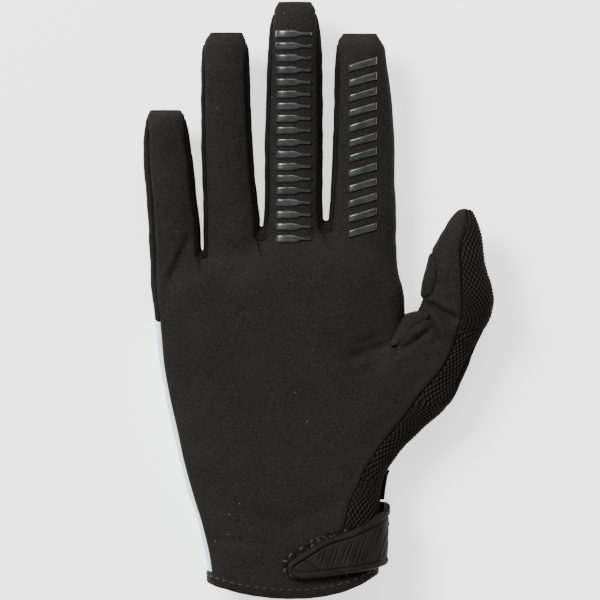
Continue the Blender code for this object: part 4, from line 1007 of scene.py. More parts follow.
def make_knit(name, slot, dark, light, pitch, rough, depth, sheen):
    """Stretch knit: staggered loops on the cloth's own map, over a slow change of tone."""
    f = Finish(name, slot, 0.04, sheen_weight=sheen, sheen_roughness=0.5)
    across, along = f.cloth()
    turn = 2 * np.pi / pitch
    loops = (across * turn).sine() * (along * turn * 0.8).sine()
    ribs = (across * turn * 0.5 + (along * turn * 0.4).sine() * 0.6).sine()
    fuzz = f.noise(0.5 * MM, 2.0)
    broad = f.noise(11 * MM, 2.0)
    tone = loops * 0.22 + ribs * 0.1 + fuzz * 0.5 + broad * 0.5
    colour = f.mix(tone.span(0.2, 0.85), dark, light)
    return f.finish(colour, rough + fuzz * 0.12, loops * 0.6 + ribs * 0.3 + fuzz * 0.4, depth)


def make_air_mesh():
    """Air mesh: dull raised cells on the cloth's own map, coloured by their relief: painted shade in the
    pores between them and a painted highlight on their raised tops.
    """
    f = Finish("Air mesh", "air_mesh", 0.06)
    across, along = f.cloth()
    # Painted shade and highlight: the same product of cosines as the cells' relief, so the colour runs
    # dark in the pores and pale on the tops.
    painted_cell_shading = (across * (2 * np.pi / MESH_ACROSS) + np.pi / 2).sine()
    painted_cell_shading = painted_cell_shading * (along * (2 * np.pi / MESH_ALONG) + np.pi / 2).sine()
    thread = (across * MESH_THREAD).sine() * (along * MESH_THREAD).sine()
    fuzz = f.noise(0.4 * MM, 2.0)
    broad = f.noise(9 * MM, 2.0)
    # Painted shade in the pores, painted highlight on the cell tops.
    colour = f.mix(painted_cell_shading.span(-0.45, 0.75), (0.0018, 0.0015, 0.0013), (0.0180, 0.0142, 0.0122))
    colour = f.mix((thread * 0.3 + fuzz * 0.6 + broad * 0.4).span(0.55, 1.15), colour,
                   (0.0170, 0.0130, 0.0110))
    return f.finish(colour, 0.66 + fuzz * 0.2, thread * 0.5 + fuzz * 0.5, 0.06 * MM)


def make_rubber():
    """Moulded rubber: satin black with a fine grain and faint dust."""
    f = Finish("Moulded rubber", "rubber", 0.10)
    grain = f.noise(0.35 * MM, 3.0, 0.6)
    broad = f.noise(6 * MM, 2.0)
    colour = f.mix(broad.span(0.3, 0.7), (0.0050, 0.0046, 0.0036), (0.0090, 0.0084, 0.0068))
    colour = f.mix(f.specks(2.9 * MM, 0.12 * MM, 0.2), colour, (0.030, 0.028, 0.025))
    return f.finish(colour, 0.50 + grain * 0.2 + broad * 0.08, grain, 0.07 * MM)


def make_silicone():
    """Printed silicone: glossy slate grey, a little uneven."""
    f = Finish("Printed silicone", "silicone", 0.25, coat_weight=0.55, coat_roughness=0.13)
    broad = f.noise(3 * MM, 2.0)
    fine = f.noise(0.6 * MM, 2.0)
    colour = f.mix(broad.span(0.3, 0.7), (0.010, 0.0110, 0.0110), (0.020, 0.0218, 0.0218))
    return f.finish(colour, 0.24 + fine * 0.2, fine * 0.5 + broad, 0.06 * MM)


def make_binding():
    """Binding tape: fine ribs across its length, on the tape's own map."""
    f = Finish("Ribbed binding tape", "binding_tape", 0.10, sheen_weight=0.02, sheen_roughness=0.5)
    across, _ = f.cloth()
    rib = (across * (2 * np.pi / (0.75 * MM))).sine()
    fuzz = f.noise(0.4 * MM, 2.0)
    tone = (rib * 0.06 + fuzz).span(0.25, 0.8)
    colour = f.mix(tone, (0.0022, 0.0020, 0.0017), (0.0120, 0.0114, 0.0100))
    return f.finish(colour, 0.7 + fuzz * 0.15, rib * 0.15 + fuzz * 0.8, 0.10 * MM)


def make_hook():
    """Hook tape: a dull base with a fine paler mottle, partly the tape's grain and partly a painted
    highlight for the hook tips.
    """
    f = Finish("Hook tape", "hook_tape")
    fuzz = f.noise(0.45 * MM, 3.0, 0.7)
    # Partly grain and partly painted highlight: the paler half of the fine mottle stands for hook tips
    # catching light.
    colour = f.mix(fuzz.span(0.4, 0.75), (0.0008, 0.0008, 0.0008), (0.009, 0.0085, 0.0078))
    return f.finish(colour, 0.55 + fuzz * 0.2, fuzz, 0.25 * MM)


def make_thread():
    """Sewing thread: twisted strands on its own map."""
    f = Finish("Sewing thread", "binding_tape")
    across, along = f.cloth()
    twist = ((across + along) * (2 * np.pi / (0.35 * MM))).sine()
    tone = (twist * 0.5 + 0.5).span(0.1, 0.9)
    colour = f.mix(tone, (0.005, 0.0048, 0.0042), (0.015, 0.0142, 0.0125))
    return f.finish(colour, 0.5 + twist * 0.06, twist, 0.04 * MM)


def make_nylon():
    """Stiff clear-black monofilament of the hooks: glossy, with pale painted highlights on the hooks
    here and there.
    """
    f = Finish("Hook monofilament", "hook_tape", 0.15, coat_weight=0.1, coat_roughness=0.2,
               roughness=0.45)
    fuzz = f.noise(1.1 * MM, 1.0)
    # Painted highlight: where the noise is high the hooks turn pale, for glints on them.
    return f.finish(f.mix(fuzz.span(0.56, 0.68), (0.003, 0.003, 0.003), (0.10, 0.097, 0.09)))


SUEDE = make_suede()
STRETCH = make_knit("Stretch knit", "stretch_fabric", (0.0030, 0.0027, 0.0023), (0.0135, 0.0124, 0.0108),
                    0.8 * MM, 0.85, 0.08 * MM, 0.0)
PALE = make_knit("Pale woven back", "pale_fabric", (0.60, 0.70, 0.78), (0.80, 0.87, 0.92),
                 0.7 * MM, 0.66, 0.06 * MM, 0.05)
AIR_MESH = make_air_mesh()
RUBBER = make_rubber()
SILICONE = make_silicone()
BINDING = make_binding()
HOOK = make_hook()
NYLON = make_nylon()
THREAD = make_thread()


# Relief of the panels

def seam_roll(points):
    """Radius of the turned seam: smaller near the tips, where the seams lie on the outline."""
    near = ease(0.80, 0.95, (points[:, 1] - SPLIT_Y) / THUMB_LENGTH)
    near = near * (points[:, 0] > 0.55 * PALM_WIDTH)
    for finger in FINGERS.values():
        beside = np.abs(points[:, 0] - finger.centre * PALM_WIDTH) < 0.8 * finger.width
        near = np.maximum(near, beside * ease(0.82, 0.95, points[:, 1] / finger.length - finger.base))
    return ROLL * (1 - 0.7 * near)


def palm_ripple(points, away):
    """Slow swells, short puckers that die away from the seams, and the fine creases."""
    x, y = points[:, 0], points[:, 1]
    swell = 0.28 * MM * ripples(x, y, 24 * MM, 3) + 0.10 * MM * ripples(x, y, 9 * MM, 5)
    pucker = 0.22 * MM * ripples(x, y, 5.5 * MM, 7) * np.exp(-away / (3.0 * MM))
    return (swell + pucker) * ease(0, 3 * MM, away) - troughs(x, y, CREASES)


def cloth_ripple(amount, length, seed):
    """Swells and puckers of a thinner cloth, which die away at its seams."""
    def ripple(points, away):
        x, y = points[:, 0], points[:, 1]
        swell = ripples(x, y, length, seed) + 0.4 * ripples(x, y, length * 0.35, seed + 1)
        return amount * swell * ease(0, 2.5 * MM, away)
    return ripple


def seam_bead(points, away, at):
    """A low swelling beside each seam, where the turned allowance lies under the cloth."""
    return 0.16 * MM * np.exp(-(((away - 1.9 * MM) / (0.9 * MM)) ** 2))


def padded(points, away, at):
    """A panel that swells away from its seams."""
    return GUSSET_SWELL * ease(0, 1.8 * MM, away)


def mesh_relief(points, away, at):
    """Raised cells in staggered rows: the product of two cosines of the cloth's own lengths."""
    across = np.cos(at[:, 0] * 2 * np.pi / MESH_ACROSS)
    cells = across * np.cos(at[:, 1] * 2 * np.pi / MESH_ALONG)
    return MESH_RELIEF * cells * ease(0.3 * MM, 1.0 * MM, away)


# Panels

def palm_panel():
    """Fronts of the fingers, palm, mound and front of the thumb as one sheet."""
    shares = crowded(30)
    lobes, knuckles = knuckle_row(True, shares, refined(FINGER_STEPS, 11))
    blocks = [closed_tip(patch.layers()) for patch in lobes]
    upper = hand_block(True, knuckles, refined(SPLIT_TO_KNUCKLES, 7))
    start = edge_on(LOWER, left_edge, on_left=True)
    middle = line_on(LOWER, low_split_x)
    seam = edge_on(LOWER, lambda y: thumb_column("mesh", y))
    steps = refined(CUFF_TO_SPLIT, 12)
    palm = lower_patch(start, middle, knuckle_shares(knuckles[0]), steps).layers()
    mound = lower_patch(middle, seam, np.linspace(0, 1, THUMB_CELLS + 1), steps).layers()
    front = thumb_front().layers()
    for i in range(2):
        palm[i][:, -1] = mound[i][:, 0] = (palm[i][:, -1] + mound[i][:, 0]) / 2
        corner = (upper[i][0, -1] + front[i][0, 0]) / 2
        upper[i][0, -1] = front[i][0, 0] = corner
        palm[i][-1] = upper[i][0]
        mound[i][-1] = front[i][0]
    blocks += [upper, palm, mound, front]
    shell("Palm", blocks, SUEDE, ["palm_panel"], roll=seam_roll, ripple=palm_ripple,
          relief=seam_bead)


def thumb_front():
    """Front of the thumb from the crotch to the tip, between its inner edge and the mesh."""
    start = edge_on(THUMB_SPAN, lambda at: thumb_inset(at, True), on_left=True)
    stop = edge_on(THUMB_SPAN, lambda at: thumb_column("mesh", at))
    shares = np.linspace(0, 1, THUMB_CELLS + 1)
    return Patch(THUMB_SPAN, thumb_rows(THUMB_CELLS + 1, 7), start, stop, shares)


def backs():
    """Finger backs with the knuckles, and the pale back of the hand below them."""
    shares = crowded(24)
    lobes, knuckles = knuckle_row(False, shares, refined(FINGER_STEPS, 9))
    steps = refined(SPLIT_TO_KNUCKLES, 7)
    cut = int(np.flatnonzero(np.isclose(steps, BACK_SHARE))[0])
    hand = hand_block(False, knuckles, steps)
    blocks = [closed_tip(patch.layers()) for patch in lobes] + [[layer[cut:] for layer in hand]]
    shell("Finger_backs", blocks, STRETCH, ["finger_backs"], roll=seam_roll,
          ripple=cloth_ripple(0.22 * MM, 15 * MM, 21), relief=seam_bead)
    start = edge_on(LOWER, left_edge, on_left=True)
    stop = around(line_on(LOWER, back_seam_x, above=False))
    lower = lower_patch(start, stop, knuckle_shares(knuckles[0]), refined(CUFF_TO_SPLIT, 10)).layers()
    blocks = [[np.concatenate([low[:-1], high[: cut + 1]]) for low, high in zip(lower, hand)]]
    shell("Hand_back", blocks, PALE, ["hand_back"], ripple=cloth_ripple(0.25 * MM, 22 * MM, 23),
          relief=seam_bead)


def back_seam_x(y):
    return of_table(BACK_SEAM, (y - CUFF_Y) / (SPLIT_Y - CUFF_Y)) * PALM_WIDTH


def thumb_side(start_low, stop_low, start_high, stop_high, cells, low_parts, high_parts):
    """Panel of the thumb's side or back, from the cuff to the crotch and on to the tip."""
    shares = np.linspace(0, 1, cells + 1)
    y = thumb_rows(cells + 1, high_parts)
    lower = lower_patch(start_low, stop_low, shares, refined(CUFF_TO_SPLIT, low_parts)).layers()
    upper = Patch(THUMB_SPAN, y, start_high, stop_high, shares).layers()
    return [[np.concatenate([low[:-1], high]) for low, high in zip(lower, upper)]]


def thumb_panels():
    """Mesh down the thumb's outer side, and the smooth panel behind it."""
    inner, outer = (lambda y: thumb_column("mesh", y)), (lambda y: thumb_column("mesh_end", y))
    blocks = thumb_side(edge_on(LOWER, inner), edge_on(LOWER, outer), edge_on(THUMB_SPAN, inner),
                        edge_on(THUMB_SPAN, outer), MESH_CELLS, 28, 18)
    shell("Thumb_mesh", blocks, AIR_MESH, ["thumb_mesh"], relief=mesh_relief,
          ripple=cloth_ripple(0.15 * MM, 14 * MM, 31), sharp=80)
    inner_edge = edge_on(THUMB_SPAN, lambda y: thumb_inset(y, False), on_left=True)
    blocks = thumb_side(around(line_on(LOWER, back_seam_x, above=False)), around(edge_on(LOWER, outer)),
                        inner_edge, around(edge_on(THUMB_SPAN, outer)), THUMB_BACK_CELLS, 10, 7)
    shell("Thumb_back", blocks, STRETCH, ["thumb_back"], ripple=cloth_ripple(0.2 * MM, 12 * MM, 33),
          relief=seam_bead)


def bowed(top, middle, bottom, cells):
    """Points over a strip's width: each half falls from the middle to its seam as an ellipse."""
    reach = np.radians(62)
    grid = []
    for share in np.linspace(1, -1, cells + 1):
        turn = abs(share) * reach
        seam = top if share > 0 else bottom
        flat = (1 - np.cos(turn)) / (1 - np.cos(reach))
        rise = np.sin(turn) / np.sin(reach)
        grid.append(middle + (seam - middle) * np.array([flat, flat, rise]))
    return np.stack(grid, axis=1)


def strip_line(name, which, angle, inset, steps):
    """Line up a finger's side from its crotch, at a section angle given as a function of Y."""
    low = crotch_y(name, which)
    y = low + steps * (tip_y(name) - low)
    return FINGER_SPANS[name].point(y, angle(y), inset)


def fourchette(index):
    """Side strip between two fingers: up one, round the crotch and up the other."""
    left, right, base, gap = CROTCHES[index]
    steps = refined([share for share in FINGER_STEPS if share < 0.96], 10)
    open_y = (base + gap) * PALM_WIDTH
    layers = []
    for depth, inset in enumerate((0.0, WALL)):
        rails = {}
        for side, low in (("palm", True), ("back", False)):
            first = strip_line(left, "right", finger_edge(left, "right", low), inset, steps)[::-1]
            second = strip_line(right, "left", finger_edge(right, "left", low), inset, steps)
            drop = CROTCH_DROP - SEAM_TRIM + depth * WALL / 2
            turn = crotch_row(first[-1], second[0], base * PALM_WIDTH, CROTCH_CELLS, drop)
            rails[side] = np.concatenate([first, turn, second])
        first = strip_line(left, "right", np.zeros_like, inset, steps)[::-1]
        second = strip_line(right, "left", lambda y: np.full_like(y, np.pi), inset, steps)
        share = np.linspace(0, 1, 9)[1:-1, None]
        middle = np.concatenate([first, first[-1] + (second[0] - first[-1]) * share, second])
        middle = lifted(middle, open_y - depth * WALL * 0.7)
        layers.append(bowed(rails["palm"], middle, rails["back"], 14))
    name = f"Fourchette_{left}_{right}"
    shell(name, [layers], STRETCH, [f"fourchette_{left}_{right}"], roll=0.5 * MM,
          ripple=cloth_ripple(0.1 * MM, 9 * MM, 41 + index))


def lifted(middle, open_y):
    """Turns the middle line round the end of the open gap as half a circle."""
    low = middle[:, 1] < open_y
    first, last = np.flatnonzero(low)[[0, -1]]
    left = np.interp(open_y, middle[[first, first - 1], 1], middle[[first, first - 1], 0])
    right = np.interp(open_y, middle[[last, last + 1], 1], middle[[last, last + 1], 0])
    centre, half = (left + right) / 2, (right - left) / 2
    turn = np.linspace(0, np.pi, int(low.sum()))
    made = middle.copy()
    made[low, 0] = centre - half * np.cos(turn)
    made[low, 1] = open_y - half * np.sin(turn)
    return made


def thumb_web():
    """Rolled gusset in the thumb's crotch: rungs from palm to thumb that bulge up and dip down."""
    rise = np.linspace(0, 1, 15)
    high = OUTER_CROTCH["index"] * PALM_WIDTH
    outers, inners = [], []
    for sign in (1, -1):
        y = SPLIT_Y + (high - SPLIT_Y) * BACK_SHARE * (0.01 + 0.99 * rise)
        part = of_table(PALM_EDGE, (y - SPLIT_Y) / (high - SPLIT_Y)) * sign
        tuck = sign * WEB_TUCK * (1 - rise**3)
        palm = UPPER.point(y, UPPER.edge(y, INDEX_WRAP * part + tuck, False), WEB_TUCK)
        y = SPLIT_Y + THUMB_LENGTH * THUMB_STEPS[2] * (0.01 + 0.99 * rise)
        inset = thumb_inset(y, sign > 0) + tuck
        thumb = THUMB_SPAN.point(y, THUMB_SPAN.edge(y, inset, True), WEB_TUCK)
        share = np.linspace(0, 1, 13)
        grid = palm[:, None] + (thumb - palm)[:, None] * share[None, :, None]
        bow = np.sqrt(np.clip(4 * share * (1 - share), 0, 1))
        turn = (np.pi / 2 * rise)[:, None]
        grid[..., 2] += sign * bow * np.cos(turn) * WEB_BULGE
        grid[..., 1] += bow * np.sin(turn) * WEB_FORWARD
        back = grid.copy()
        back[..., 2] -= sign * np.cos(turn) * WALL
        back[..., 1] -= np.sin(turn) * WALL
        outers.append(grid)
        inners.append(back)
    layers = [np.concatenate([up, down[::-1][1:]]) for up, down in (outers, inners)]
    shell("Thumb_web", [layers], SUEDE, ["thumb_web"], roll=0.3 * MM)


def web_roll():
    """Rolled pleat over the crotch: an oval that swells and sinks again along a short line."""
    share = np.linspace(0, 1, 61)
    x, y, z, half, deep = (along_rows(PLEAT_ROWS, PLEAT_COLUMNS, name, share)[:, None] * MM
                           for name in PLEAT_COLUMNS[1:])
    way = np.gradient(np.concatenate([x, y], axis=1), axis=0)
    way /= np.linalg.norm(way, axis=1, keepdims=True)
    turn = np.linspace(0, 2 * np.pi, 28, endpoint=False)
    crumple = 1 + 0.07 * np.sin(share * 23 + 0.6)[:, None] * np.cos(turn * 2 + 0.5)
    aside = half * np.cos(turn) * crumple
    up = z + deep * np.sin(turn) * crumple
    rings = np.stack([x + way[:, 1:] * aside, y - way[:, :1] * aside, up], -1)
    swept("Thumb_web_roll", rings[None], SUEDE)


def side_gusset():
    """Narrow insert along the thumb's inner side."""
    share = np.linspace(THUMB_STEPS[3], THUMB_STEPS[6], 40)
    y = SPLIT_Y + (THUMB_TIP_Y - SPLIT_Y) * share
    start = edge_on(THUMB_SPAN, lambda at: thumb_inset(at, True), on_left=True)
    stop = edge_on(THUMB_SPAN, lambda at: thumb_inset(at, False), on_left=True)
    patch = Patch(THUMB_SPAN, np.repeat(y[:, None], 17, axis=1), start, stop, np.linspace(0, 1, 17))
    shell("Thumb_side_gusset", [patch.layers()], SUEDE, ["thumb_side_gusset"], relief=padded)


# Cuff, strap and grips

def ring_mesh(name, rings):
    """The binding's closed profile carried round a closed loop, with its own length map."""
    count, turns = rings.shape[:2]
    index = np.arange(count * turns).reshape(count, turns)
    down = np.roll(index, -1, axis=0)
    faces = np.stack([index, np.roll(index, -1, axis=1), np.roll(down, -1, axis=1), down], -1)
    middle = rings[count // 4]
    step = np.linalg.norm(np.roll(middle, -1, axis=0) - middle, axis=1)
    along = np.concatenate([[0.0], np.cumsum(step)])
    across = np.linspace(0, 2 * BINDING_HEIGHT, count + 1)
    u = np.broadcast_to(along, (count + 1, turns + 1))
    v = np.broadcast_to(across[:, None], (count + 1, turns + 1))
    cloth = np.stack([u, v], -1)
    corners = np.stack([cloth[:-1, :-1], cloth[:-1, 1:], cloth[1:, 1:], cloth[1:, :-1]], -2)
    mesh = put_mesh(name, rings.reshape(-1, 3), faces.reshape(-1, 4), corners, 80)
    add_piece(name, mesh, BINDING, ["cuff_binding"])


def binding_ring(angle, across, down):
    """Line round the wrist's opening, at a depth through the binding and down its height."""
    x = LOWER.point(np.full_like(angle, CUFF_Y), angle, 0.0)[:, 0]
    top = cuff_line(x, np.sin(angle) >= 0)
    centre = BINDING_THICKNESS / 2 - BINDING_OUTSET
    ring = LOWER.point(CUFF_Y, angle, centre + across * BINDING_THICKNESS / 2)
    ring[:, 1] = top - down * BINDING_HEIGHT
    return ring


def cuff_binding():
    """Rounded band folded over the cuff's edge: a squared oval carried round the wrist."""
    angle = np.linspace(0, 2 * np.pi, 420, endpoint=False)
    turn = np.linspace(0, 2 * np.pi, 32, endpoint=False)
    across = -np.sign(np.sin(turn)) * np.abs(np.sin(turn)) ** BINDING_SQUARENESS
    down = 0.5 - 0.5 * np.sign(np.cos(turn)) * np.abs(np.cos(turn)) ** BINDING_SQUARENESS
    rings = np.stack([binding_ring(angle, a, d) for a, d in zip(across, down)])
    wave = 0.12 * MM * ripples(rings[..., 0], rings[..., 2], 7 * MM, 51)
    rings[..., 1] += wave * down[:, None]
    ring_mesh("Cuff_binding", rings)
    line = binding_ring(np.linspace(0, 2 * np.pi, 1200), -1.04, 0.27)
    stitches("Cuff_stitches", line)


def swept(name, rings, finish):
    """Closed tubes, one for each copy: rings of corners joined from end to end, with flat caps."""
    copies, stations, turns = rings.shape[:3]
    index = np.arange(stations * turns).reshape(stations, turns)
    near = np.roll(index, -1, axis=1)
    faces = np.stack([index[:-1], near[:-1], near[1:], index[1:]], -1).reshape(-1, 4)
    fan = np.array([[0, i, i + 1, i + 2] for i in range(1, turns - 1, 2)])
    faces = np.concatenate([faces, fan[:, ::-1], fan + index[-1, 0]])
    every = (faces + index.size * np.arange(copies)[:, None, None]).reshape(-1, 4)
    first = rings[0]
    along = np.linalg.norm(first[:, 0] - first[0, 0], axis=1)
    around = np.linalg.norm(first[stations // 2] - first[stations // 2, 0], axis=1)
    cloth = np.stack(np.broadcast_arrays(along[:, None], around), -1).reshape(-1, 2)
    corners = np.tile(cloth[faces], (copies, 1, 1))
    points = rings.reshape(-1, 3)
    corner = points[faces]
    normal = np.cross(corner[:, 2] - corner[:, 0], corner[:, 3] - corner[:, 1])
    if np.sum(normal * (corner.mean(axis=1) - points[: index.size].mean(axis=0))) < 0:
        every, corners = every[:, ::-1], corners[:, ::-1]
    add_piece(name, put_mesh(name, points, every, corners, 180), finish, [])


def stitches(name, line):
    """Short rounded threads, one every pitch along a line: a ring of six carried over an arc."""
    step = np.linalg.norm(np.diff(line, axis=0), axis=1)
    arc = np.concatenate([[0.0], np.cumsum(step)])
    centres = np.arange(STITCH_PITCH / 2, arc[-1], STITCH_PITCH)
    share = np.linspace(-1, 1, 9)
    at = centres[:, None] + share * STITCH_LENGTH / 2
    spine = np.stack([np.interp(at, arc, line[:, axis]) for axis in range(3)], -1)
    way = spine[:, -1] - spine[:, 0]
    way /= np.linalg.norm(way, axis=1, keepdims=True)
    out = np.cross(way, (0.0, 1.0, 0.0))
    out /= np.linalg.norm(out, axis=1, keepdims=True)
    side = np.cross(way, out)
    turn = np.linspace(0, 2 * np.pi, 6, endpoint=False)[:, None]
    radius = STITCH_RADIUS * np.sqrt(np.clip(1 - share**2 * 0.97, 0, 1))
    circle = out[:, None] * np.cos(turn) + side[:, None] * np.sin(turn)
    sink = (share**2 * STITCH_SINK)[:, None] * out[:, None]
    swept(name, (spine + sink)[:, :, None] + circle[:, None] * radius[:, None, None], THREAD)


def strap_patch(margin, reach, columns, rows):
    """Band round the wrist from the strap's tip on the palm side to its root underneath."""
    def start(y):
        return LOWER.edge(y, LOWER.sides(y, 0.0)[1] - STRAP_TIP_X + margin, False)

    def stop(y):
        return LOWER.edge(y, reach(y), False)

    shares = np.linspace(0, 1, columns) ** 1.15
    base = CUFF_Y + STRAP_TIP_UP
    level = np.full((2, columns), base)
    level[1] += MM
    flat = Patch(LOWER, level, start, stop, shares, trim=0.0)
    x = flat.points(0.0)[0, :, 0]
    under = np.sin(flat.angle[0]) < 0
    along = np.clip(np.where(under, 1.5, (x - STRAP_TIP_X + margin) / STRAP_REACH), 0, 1.5)
    high = base + STRAP_WIDTH * along_rows(STRAP_ROWS, STRAP_COLUMNS, "upper", along) + margin
    low = base + STRAP_WIDTH * along_rows(STRAP_ROWS, STRAP_COLUMNS, "lower", along) - margin * TAPE_LOW
    return Patch(LOWER, rows_between(low, high, crowded(rows, 0.6)), start, stop, shares, trim=0.0)


def strap_relief(points, away, at):
    """Raised rim with a groove inside it, a slanted groove over the tip's panel, and slanted lines.

    Each groove is the exponential of minus a squared distance.
    """
    along = points[:, 0] - STRAP_TIP_X
    down = points[:, 1] - CUFF_Y - STRAP_TIP_UP
    rim = RIM_HEIGHT * ease(0.2 * MM, 0.8 * MM, away) * (1 - ease(0.8 * RIM_WIDTH, RIM_WIDTH, away))
    rim = rim - RIM_GROOVE * np.exp(-(((away - 2.3 * MM) / (0.30 * MM)) ** 2))
    line = (along - TIP_GROOVE_AT - (2.6 * MM - down) * 1.34) / 1.67
    groove = -TIP_GROOVE * np.exp(-((line / (0.36 * MM)) ** 2)) * ease(1.6 * MM, 2.1 * MM, away)
    slant = np.mod(along - LINE_LEAN * down, LINE_PITCH) - LINE_PITCH / 2
    lines = np.exp(-(((np.abs(slant) - 0.8 * MM) / (0.22 * MM)) ** 2))
    inside = ease(3.0 * MM, 3.5 * MM, away) * ease(1.8 * MM, 2.4 * MM, line)
    return rim + groove - LINE_DEPTH * lines * inside


def closure_strap():
    """Moulded strap from its tip on the palm side round to its root under the wrist."""
    patch = strap_patch(0.0, lambda y: np.full_like(y, -STRAP_ROOT), 300, 84)
    layers = patch.layers(STRAP_CLEAR + STRAP_THICKNESS, STRAP_THICKNESS)
    shell("Closure_strap", [layers], RUBBER, ["closure_strap"], roll=0.7 * MM, relief=strap_relief)


def hook_relief(points, away, at):
    """A rough base: the squared product of two crossed cosines."""
    turn = 2 * np.pi / HOOK_PITCH
    return 0.30 * MM * (0.5 + 0.5 * np.cos(at[:, 0] * turn) * np.cos(at[:, 1] * turn)) ** 2


def hook_tape():
    """Tape under the strap's end, with hooks on the edge that shows round the strap."""
    patch = strap_patch(TAPE_MARGIN, lambda y: np.full_like(y, TAPE_END), 110, 70)
    layers = patch.layers(0.9 * MM, 0.7 * MM)
    shell("Hook_tape", [layers], HOOK, ["hook_tape"], roll=0.25 * MM, relief=hook_relief)
    grid = strap_patch(TAPE_MARGIN, lambda y: np.full_like(y, TAPE_END), 110, 60).points(-0.8 * MM)
    edge = np.concatenate([grid[0], grid[-1], grid[:, 0]])
    away = distance_to(grid.reshape(-1, 3), edge).reshape(grid.shape[:2])
    normal = np.cross(np.gradient(grid, axis=0), np.gradient(grid, axis=1))
    normal *= np.sign(normal[..., [2]]) / np.linalg.norm(normal, axis=2, keepdims=True)
    chosen = (away < HOOK_BAND) & (grid[..., 0] > STRAP_TIP_X - 3 * MM)
    hooks("Hooks", grid[chosen], normal[chosen])


def hooks(name, roots, normals):
    """Small hooks: a ring of four carried up a parabola that leans over, with seeded leanings."""
    chance = np.random.default_rng(61)
    count = len(roots)
    roots = roots + chance.uniform(-0.16, 0.16, (count, 3)) * MM
    turn = chance.uniform(0, 2 * np.pi, count)
    tall = chance.uniform(0.6, 1.1, count)[:, None, None] * MM
    lean = np.stack([np.cos(turn), np.sin(turn), 0 * turn], -1)[:, None]
    rise = np.linspace(0, 1, 5)[None, :, None]
    spine = roots[:, None] + normals[:, None] * tall * (rise - 0.35 * rise**3)
    spine = spine + lean * tall * HOOK_LEAN * rise**3
    side = np.cross(normals, lean[:, 0])
    side /= np.linalg.norm(side, axis=1, keepdims=True)
    other = np.cross(normals, side)
    corner = np.linspace(0, 2 * np.pi, 4, endpoint=False)[:, None]
    circle = side[:, None] * np.cos(corner) + other[:, None] * np.sin(corner)
    radius = HOOK_RADIUS * (1 - 0.35 * rise[..., None])
    points = spine[:, :, None] + circle[:, None] * radius
    swept(name, points, NYLON)


def cuff_tab():
    """Flat tab on the wrist's thumb side, just outside the panels."""
    low = np.full(TAB_CELLS, CUFF_Y + TAB_UP)
    shares = np.linspace(0, 1, TAB_CELLS)
    start = edge_on(LOWER, lambda at: np.full_like(at, -0.02 * MM))
    stop = edge_on(LOWER, lambda at: np.full_like(at, -TAB_WIDTH))
    y = rows_between(low, low + TAB_LENGTH, shares)
    patch = Patch(LOWER, y, start, stop, shares, trim=0.0)
    shell("Cuff_tab", [patch.layers(2.05 * MM, 1.1 * MM)], STRETCH, ["cuff_tab"], roll=0.45 * MM)


def span_at(span, x, y, inset):
    """Skin at an X and a Y, found by turning the squared cosine round."""
    left, right = span.sides(y, inset)
    share = np.clip((2 * x - left - right) / (right - left), -1, 1)
    return span.point(y, np.arccos(np.sign(share) * np.abs(share) ** (span.squareness / 2)), inset)


def finger_skin(name, x, y, inset):
    """Palm-side skin over a finger, bent into the palm below the crotches."""
    points = span_at(FINGER_SPANS[name], x, y, inset)
    left, right = FINGER_SPANS[name].sides(y, 0.0)
    low, high = crotch_y(name, "left"), crotch_y(name, "right")
    line = low + (high - low) * (x - left) / (right - left)
    near = ease(0, 1, (y - line + KNUCKLE_BLEND) / KNUCKLE_BLEND)
    flat = span_at(UPPER, x, np.minimum(y, 0.0), inset)
    points[..., 2] = (1 - near) * flat[..., 2] + near * points[..., 2]
    away = np.full(x.size, 6 * MM)
    points[..., 2] += palm_ripple(points.reshape(-1, 3), away).reshape(x.shape)
    return points


def grip(finger, x, half, middle):
    """Printed bar: a grid across the finger whose height is a squared dome, on a sunk base."""
    side = np.sin(np.linspace(-np.pi / 2, np.pi / 2, 11))[:, None]
    x, half, middle = np.broadcast_arrays(x, half, middle)
    along = np.linspace(-1, 1, len(x))
    y = middle + side * half
    x = np.broadcast_to(x, y.shape)
    dome = np.sqrt((1 - side**8) * (1 - along**24)) * (0.45 + 0.55 * ease(-1, -0.84, along))
    top = finger_skin(finger, x, y, 0.0)
    base = top.copy()
    top[..., 2] += dome * GRIP_HEIGHT
    base[..., 2] -= 0.3 * MM
    return [top, base]


def grips(name, share, half, slant, width, first, pitch, count):
    """One finger's printed bars, a bar every pitch from the first."""
    finger = FINGERS[name]
    x = finger.centre * PALM_WIDTH + (share - 0.5) * width
    start = finger.length * finger.base + first
    blocks = [grip(name, x, half, start + i * pitch + (share - 0.5) * slant) for i in range(count)]
    nodes = [f"{name}_grip_{i + 1:02d}" for i in range(count)]
    shell(f"{name.title()}_finger_grips", blocks, SILICONE, nodes, roll=0.02 * MM)


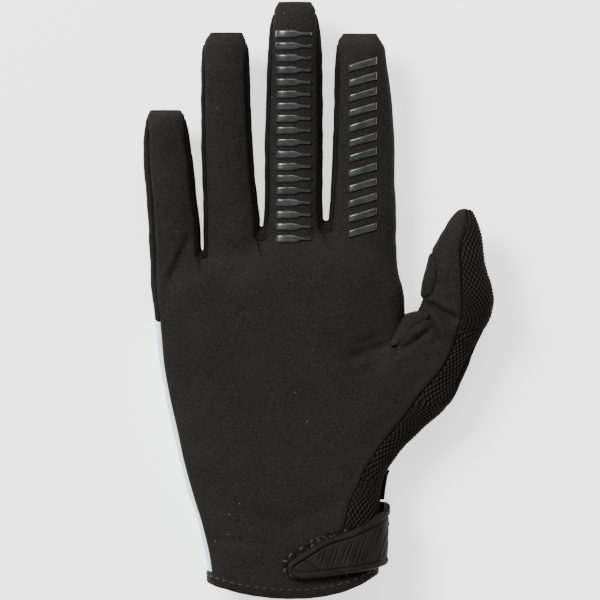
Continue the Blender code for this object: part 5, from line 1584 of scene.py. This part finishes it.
def all_grips():
    """Bars that narrow to a neck on the middle finger, and slanted ones on the index finger."""
    share = np.linspace(0, 1, 34)
    grips("middle", share, of_table(BAR_PROFILE, share) * MIDDLE_GRIP_TALL, 0.0, MIDDLE_GRIP_WIDTH,
          MIDDLE_GRIP_FIRST, MIDDLE_GRIP_PITCH, MIDDLE_GRIPS)
    grips("index", np.linspace(0, 1, 26), INDEX_GRIP_TALL / 2, INDEX_GRIP_SLANT, INDEX_GRIP_WIDTH,
          INDEX_GRIP_FIRST, INDEX_GRIP_PITCH, INDEX_GRIPS)


# Studio

def make_floor():
    """Wide pale floor under the glove that glows a little, as a light table does."""
    mesh = bpy.data.meshes.new("Floor")
    corners = [(x * FLOOR_HALF, y * FLOOR_HALF, 0) for x, y in ((-1, -1), (1, -1), (1, 1), (-1, 1))]
    mesh.from_pydata(corners, [], [(0, 1, 2, 3)])
    floor = put_object("Floor", mesh)
    finish = Finish("Pale floor", "floor", base_color=(0.93, 0.93, 0.93, 1), roughness=0.9,
                    emission_color=(1, 1, 1, 1), emission_strength=FLOOR_GLOW)
    mesh.materials.append(finish.material)


def area_light(name, place, size, power):
    """Square softbox turned to face the middle of the scene."""
    data = bpy.data.lights.new(name, "AREA")
    data.shape = "SQUARE"
    data.size = size
    data.energy = power
    light = put_object(name, data)
    light.location = place
    way = -np.array(place)
    tilt = np.arctan2(np.hypot(way[0], way[1]), -way[2])
    light.rotation_euler = (tilt, 0, np.arctan2(-way[0], way[1]))


def make_lights():
    """Softboxes kept off the line that flat tops mirror to the camera, in a plain bright room."""
    for name, place, size, power in SOFTBOXES:
        area_light(name, place, size, power)
    world = bpy.data.worlds.new("Studio")
    world.use_nodes = True
    world.node_tree.nodes["Background"].inputs["Color"].default_value = (1, 1, 1, 1)
    world.node_tree.nodes["Background"].inputs["Strength"].default_value = ROOM_LIGHT
    bpy.context.scene.world = world


def make_camera():
    """Camera straight above, with the lens that frames the photograph's width at the glove."""
    data = bpy.data.cameras.new("Camera")
    data.sensor_width = SENSOR_WIDTH
    data.lens = SENSOR_WIDTH * CAMERA_AWAY / PHOTO_WIDTH
    camera = put_object("Camera", data)
    camera.location = (PHOTO_CENTRE_X, 0.0, FOCUS_HEIGHT + CAMERA_AWAY)
    bpy.context.scene.camera = camera


make_floor()
make_lights()
make_camera()
palm_panel()
backs()
thumb_panels()
for number in range(len(CROTCHES)):
    fourchette(number)
thumb_web()
web_roll()
side_gusset()
cuff_binding()
closure_strap()
hook_tape()
cuff_tab()
all_grips()
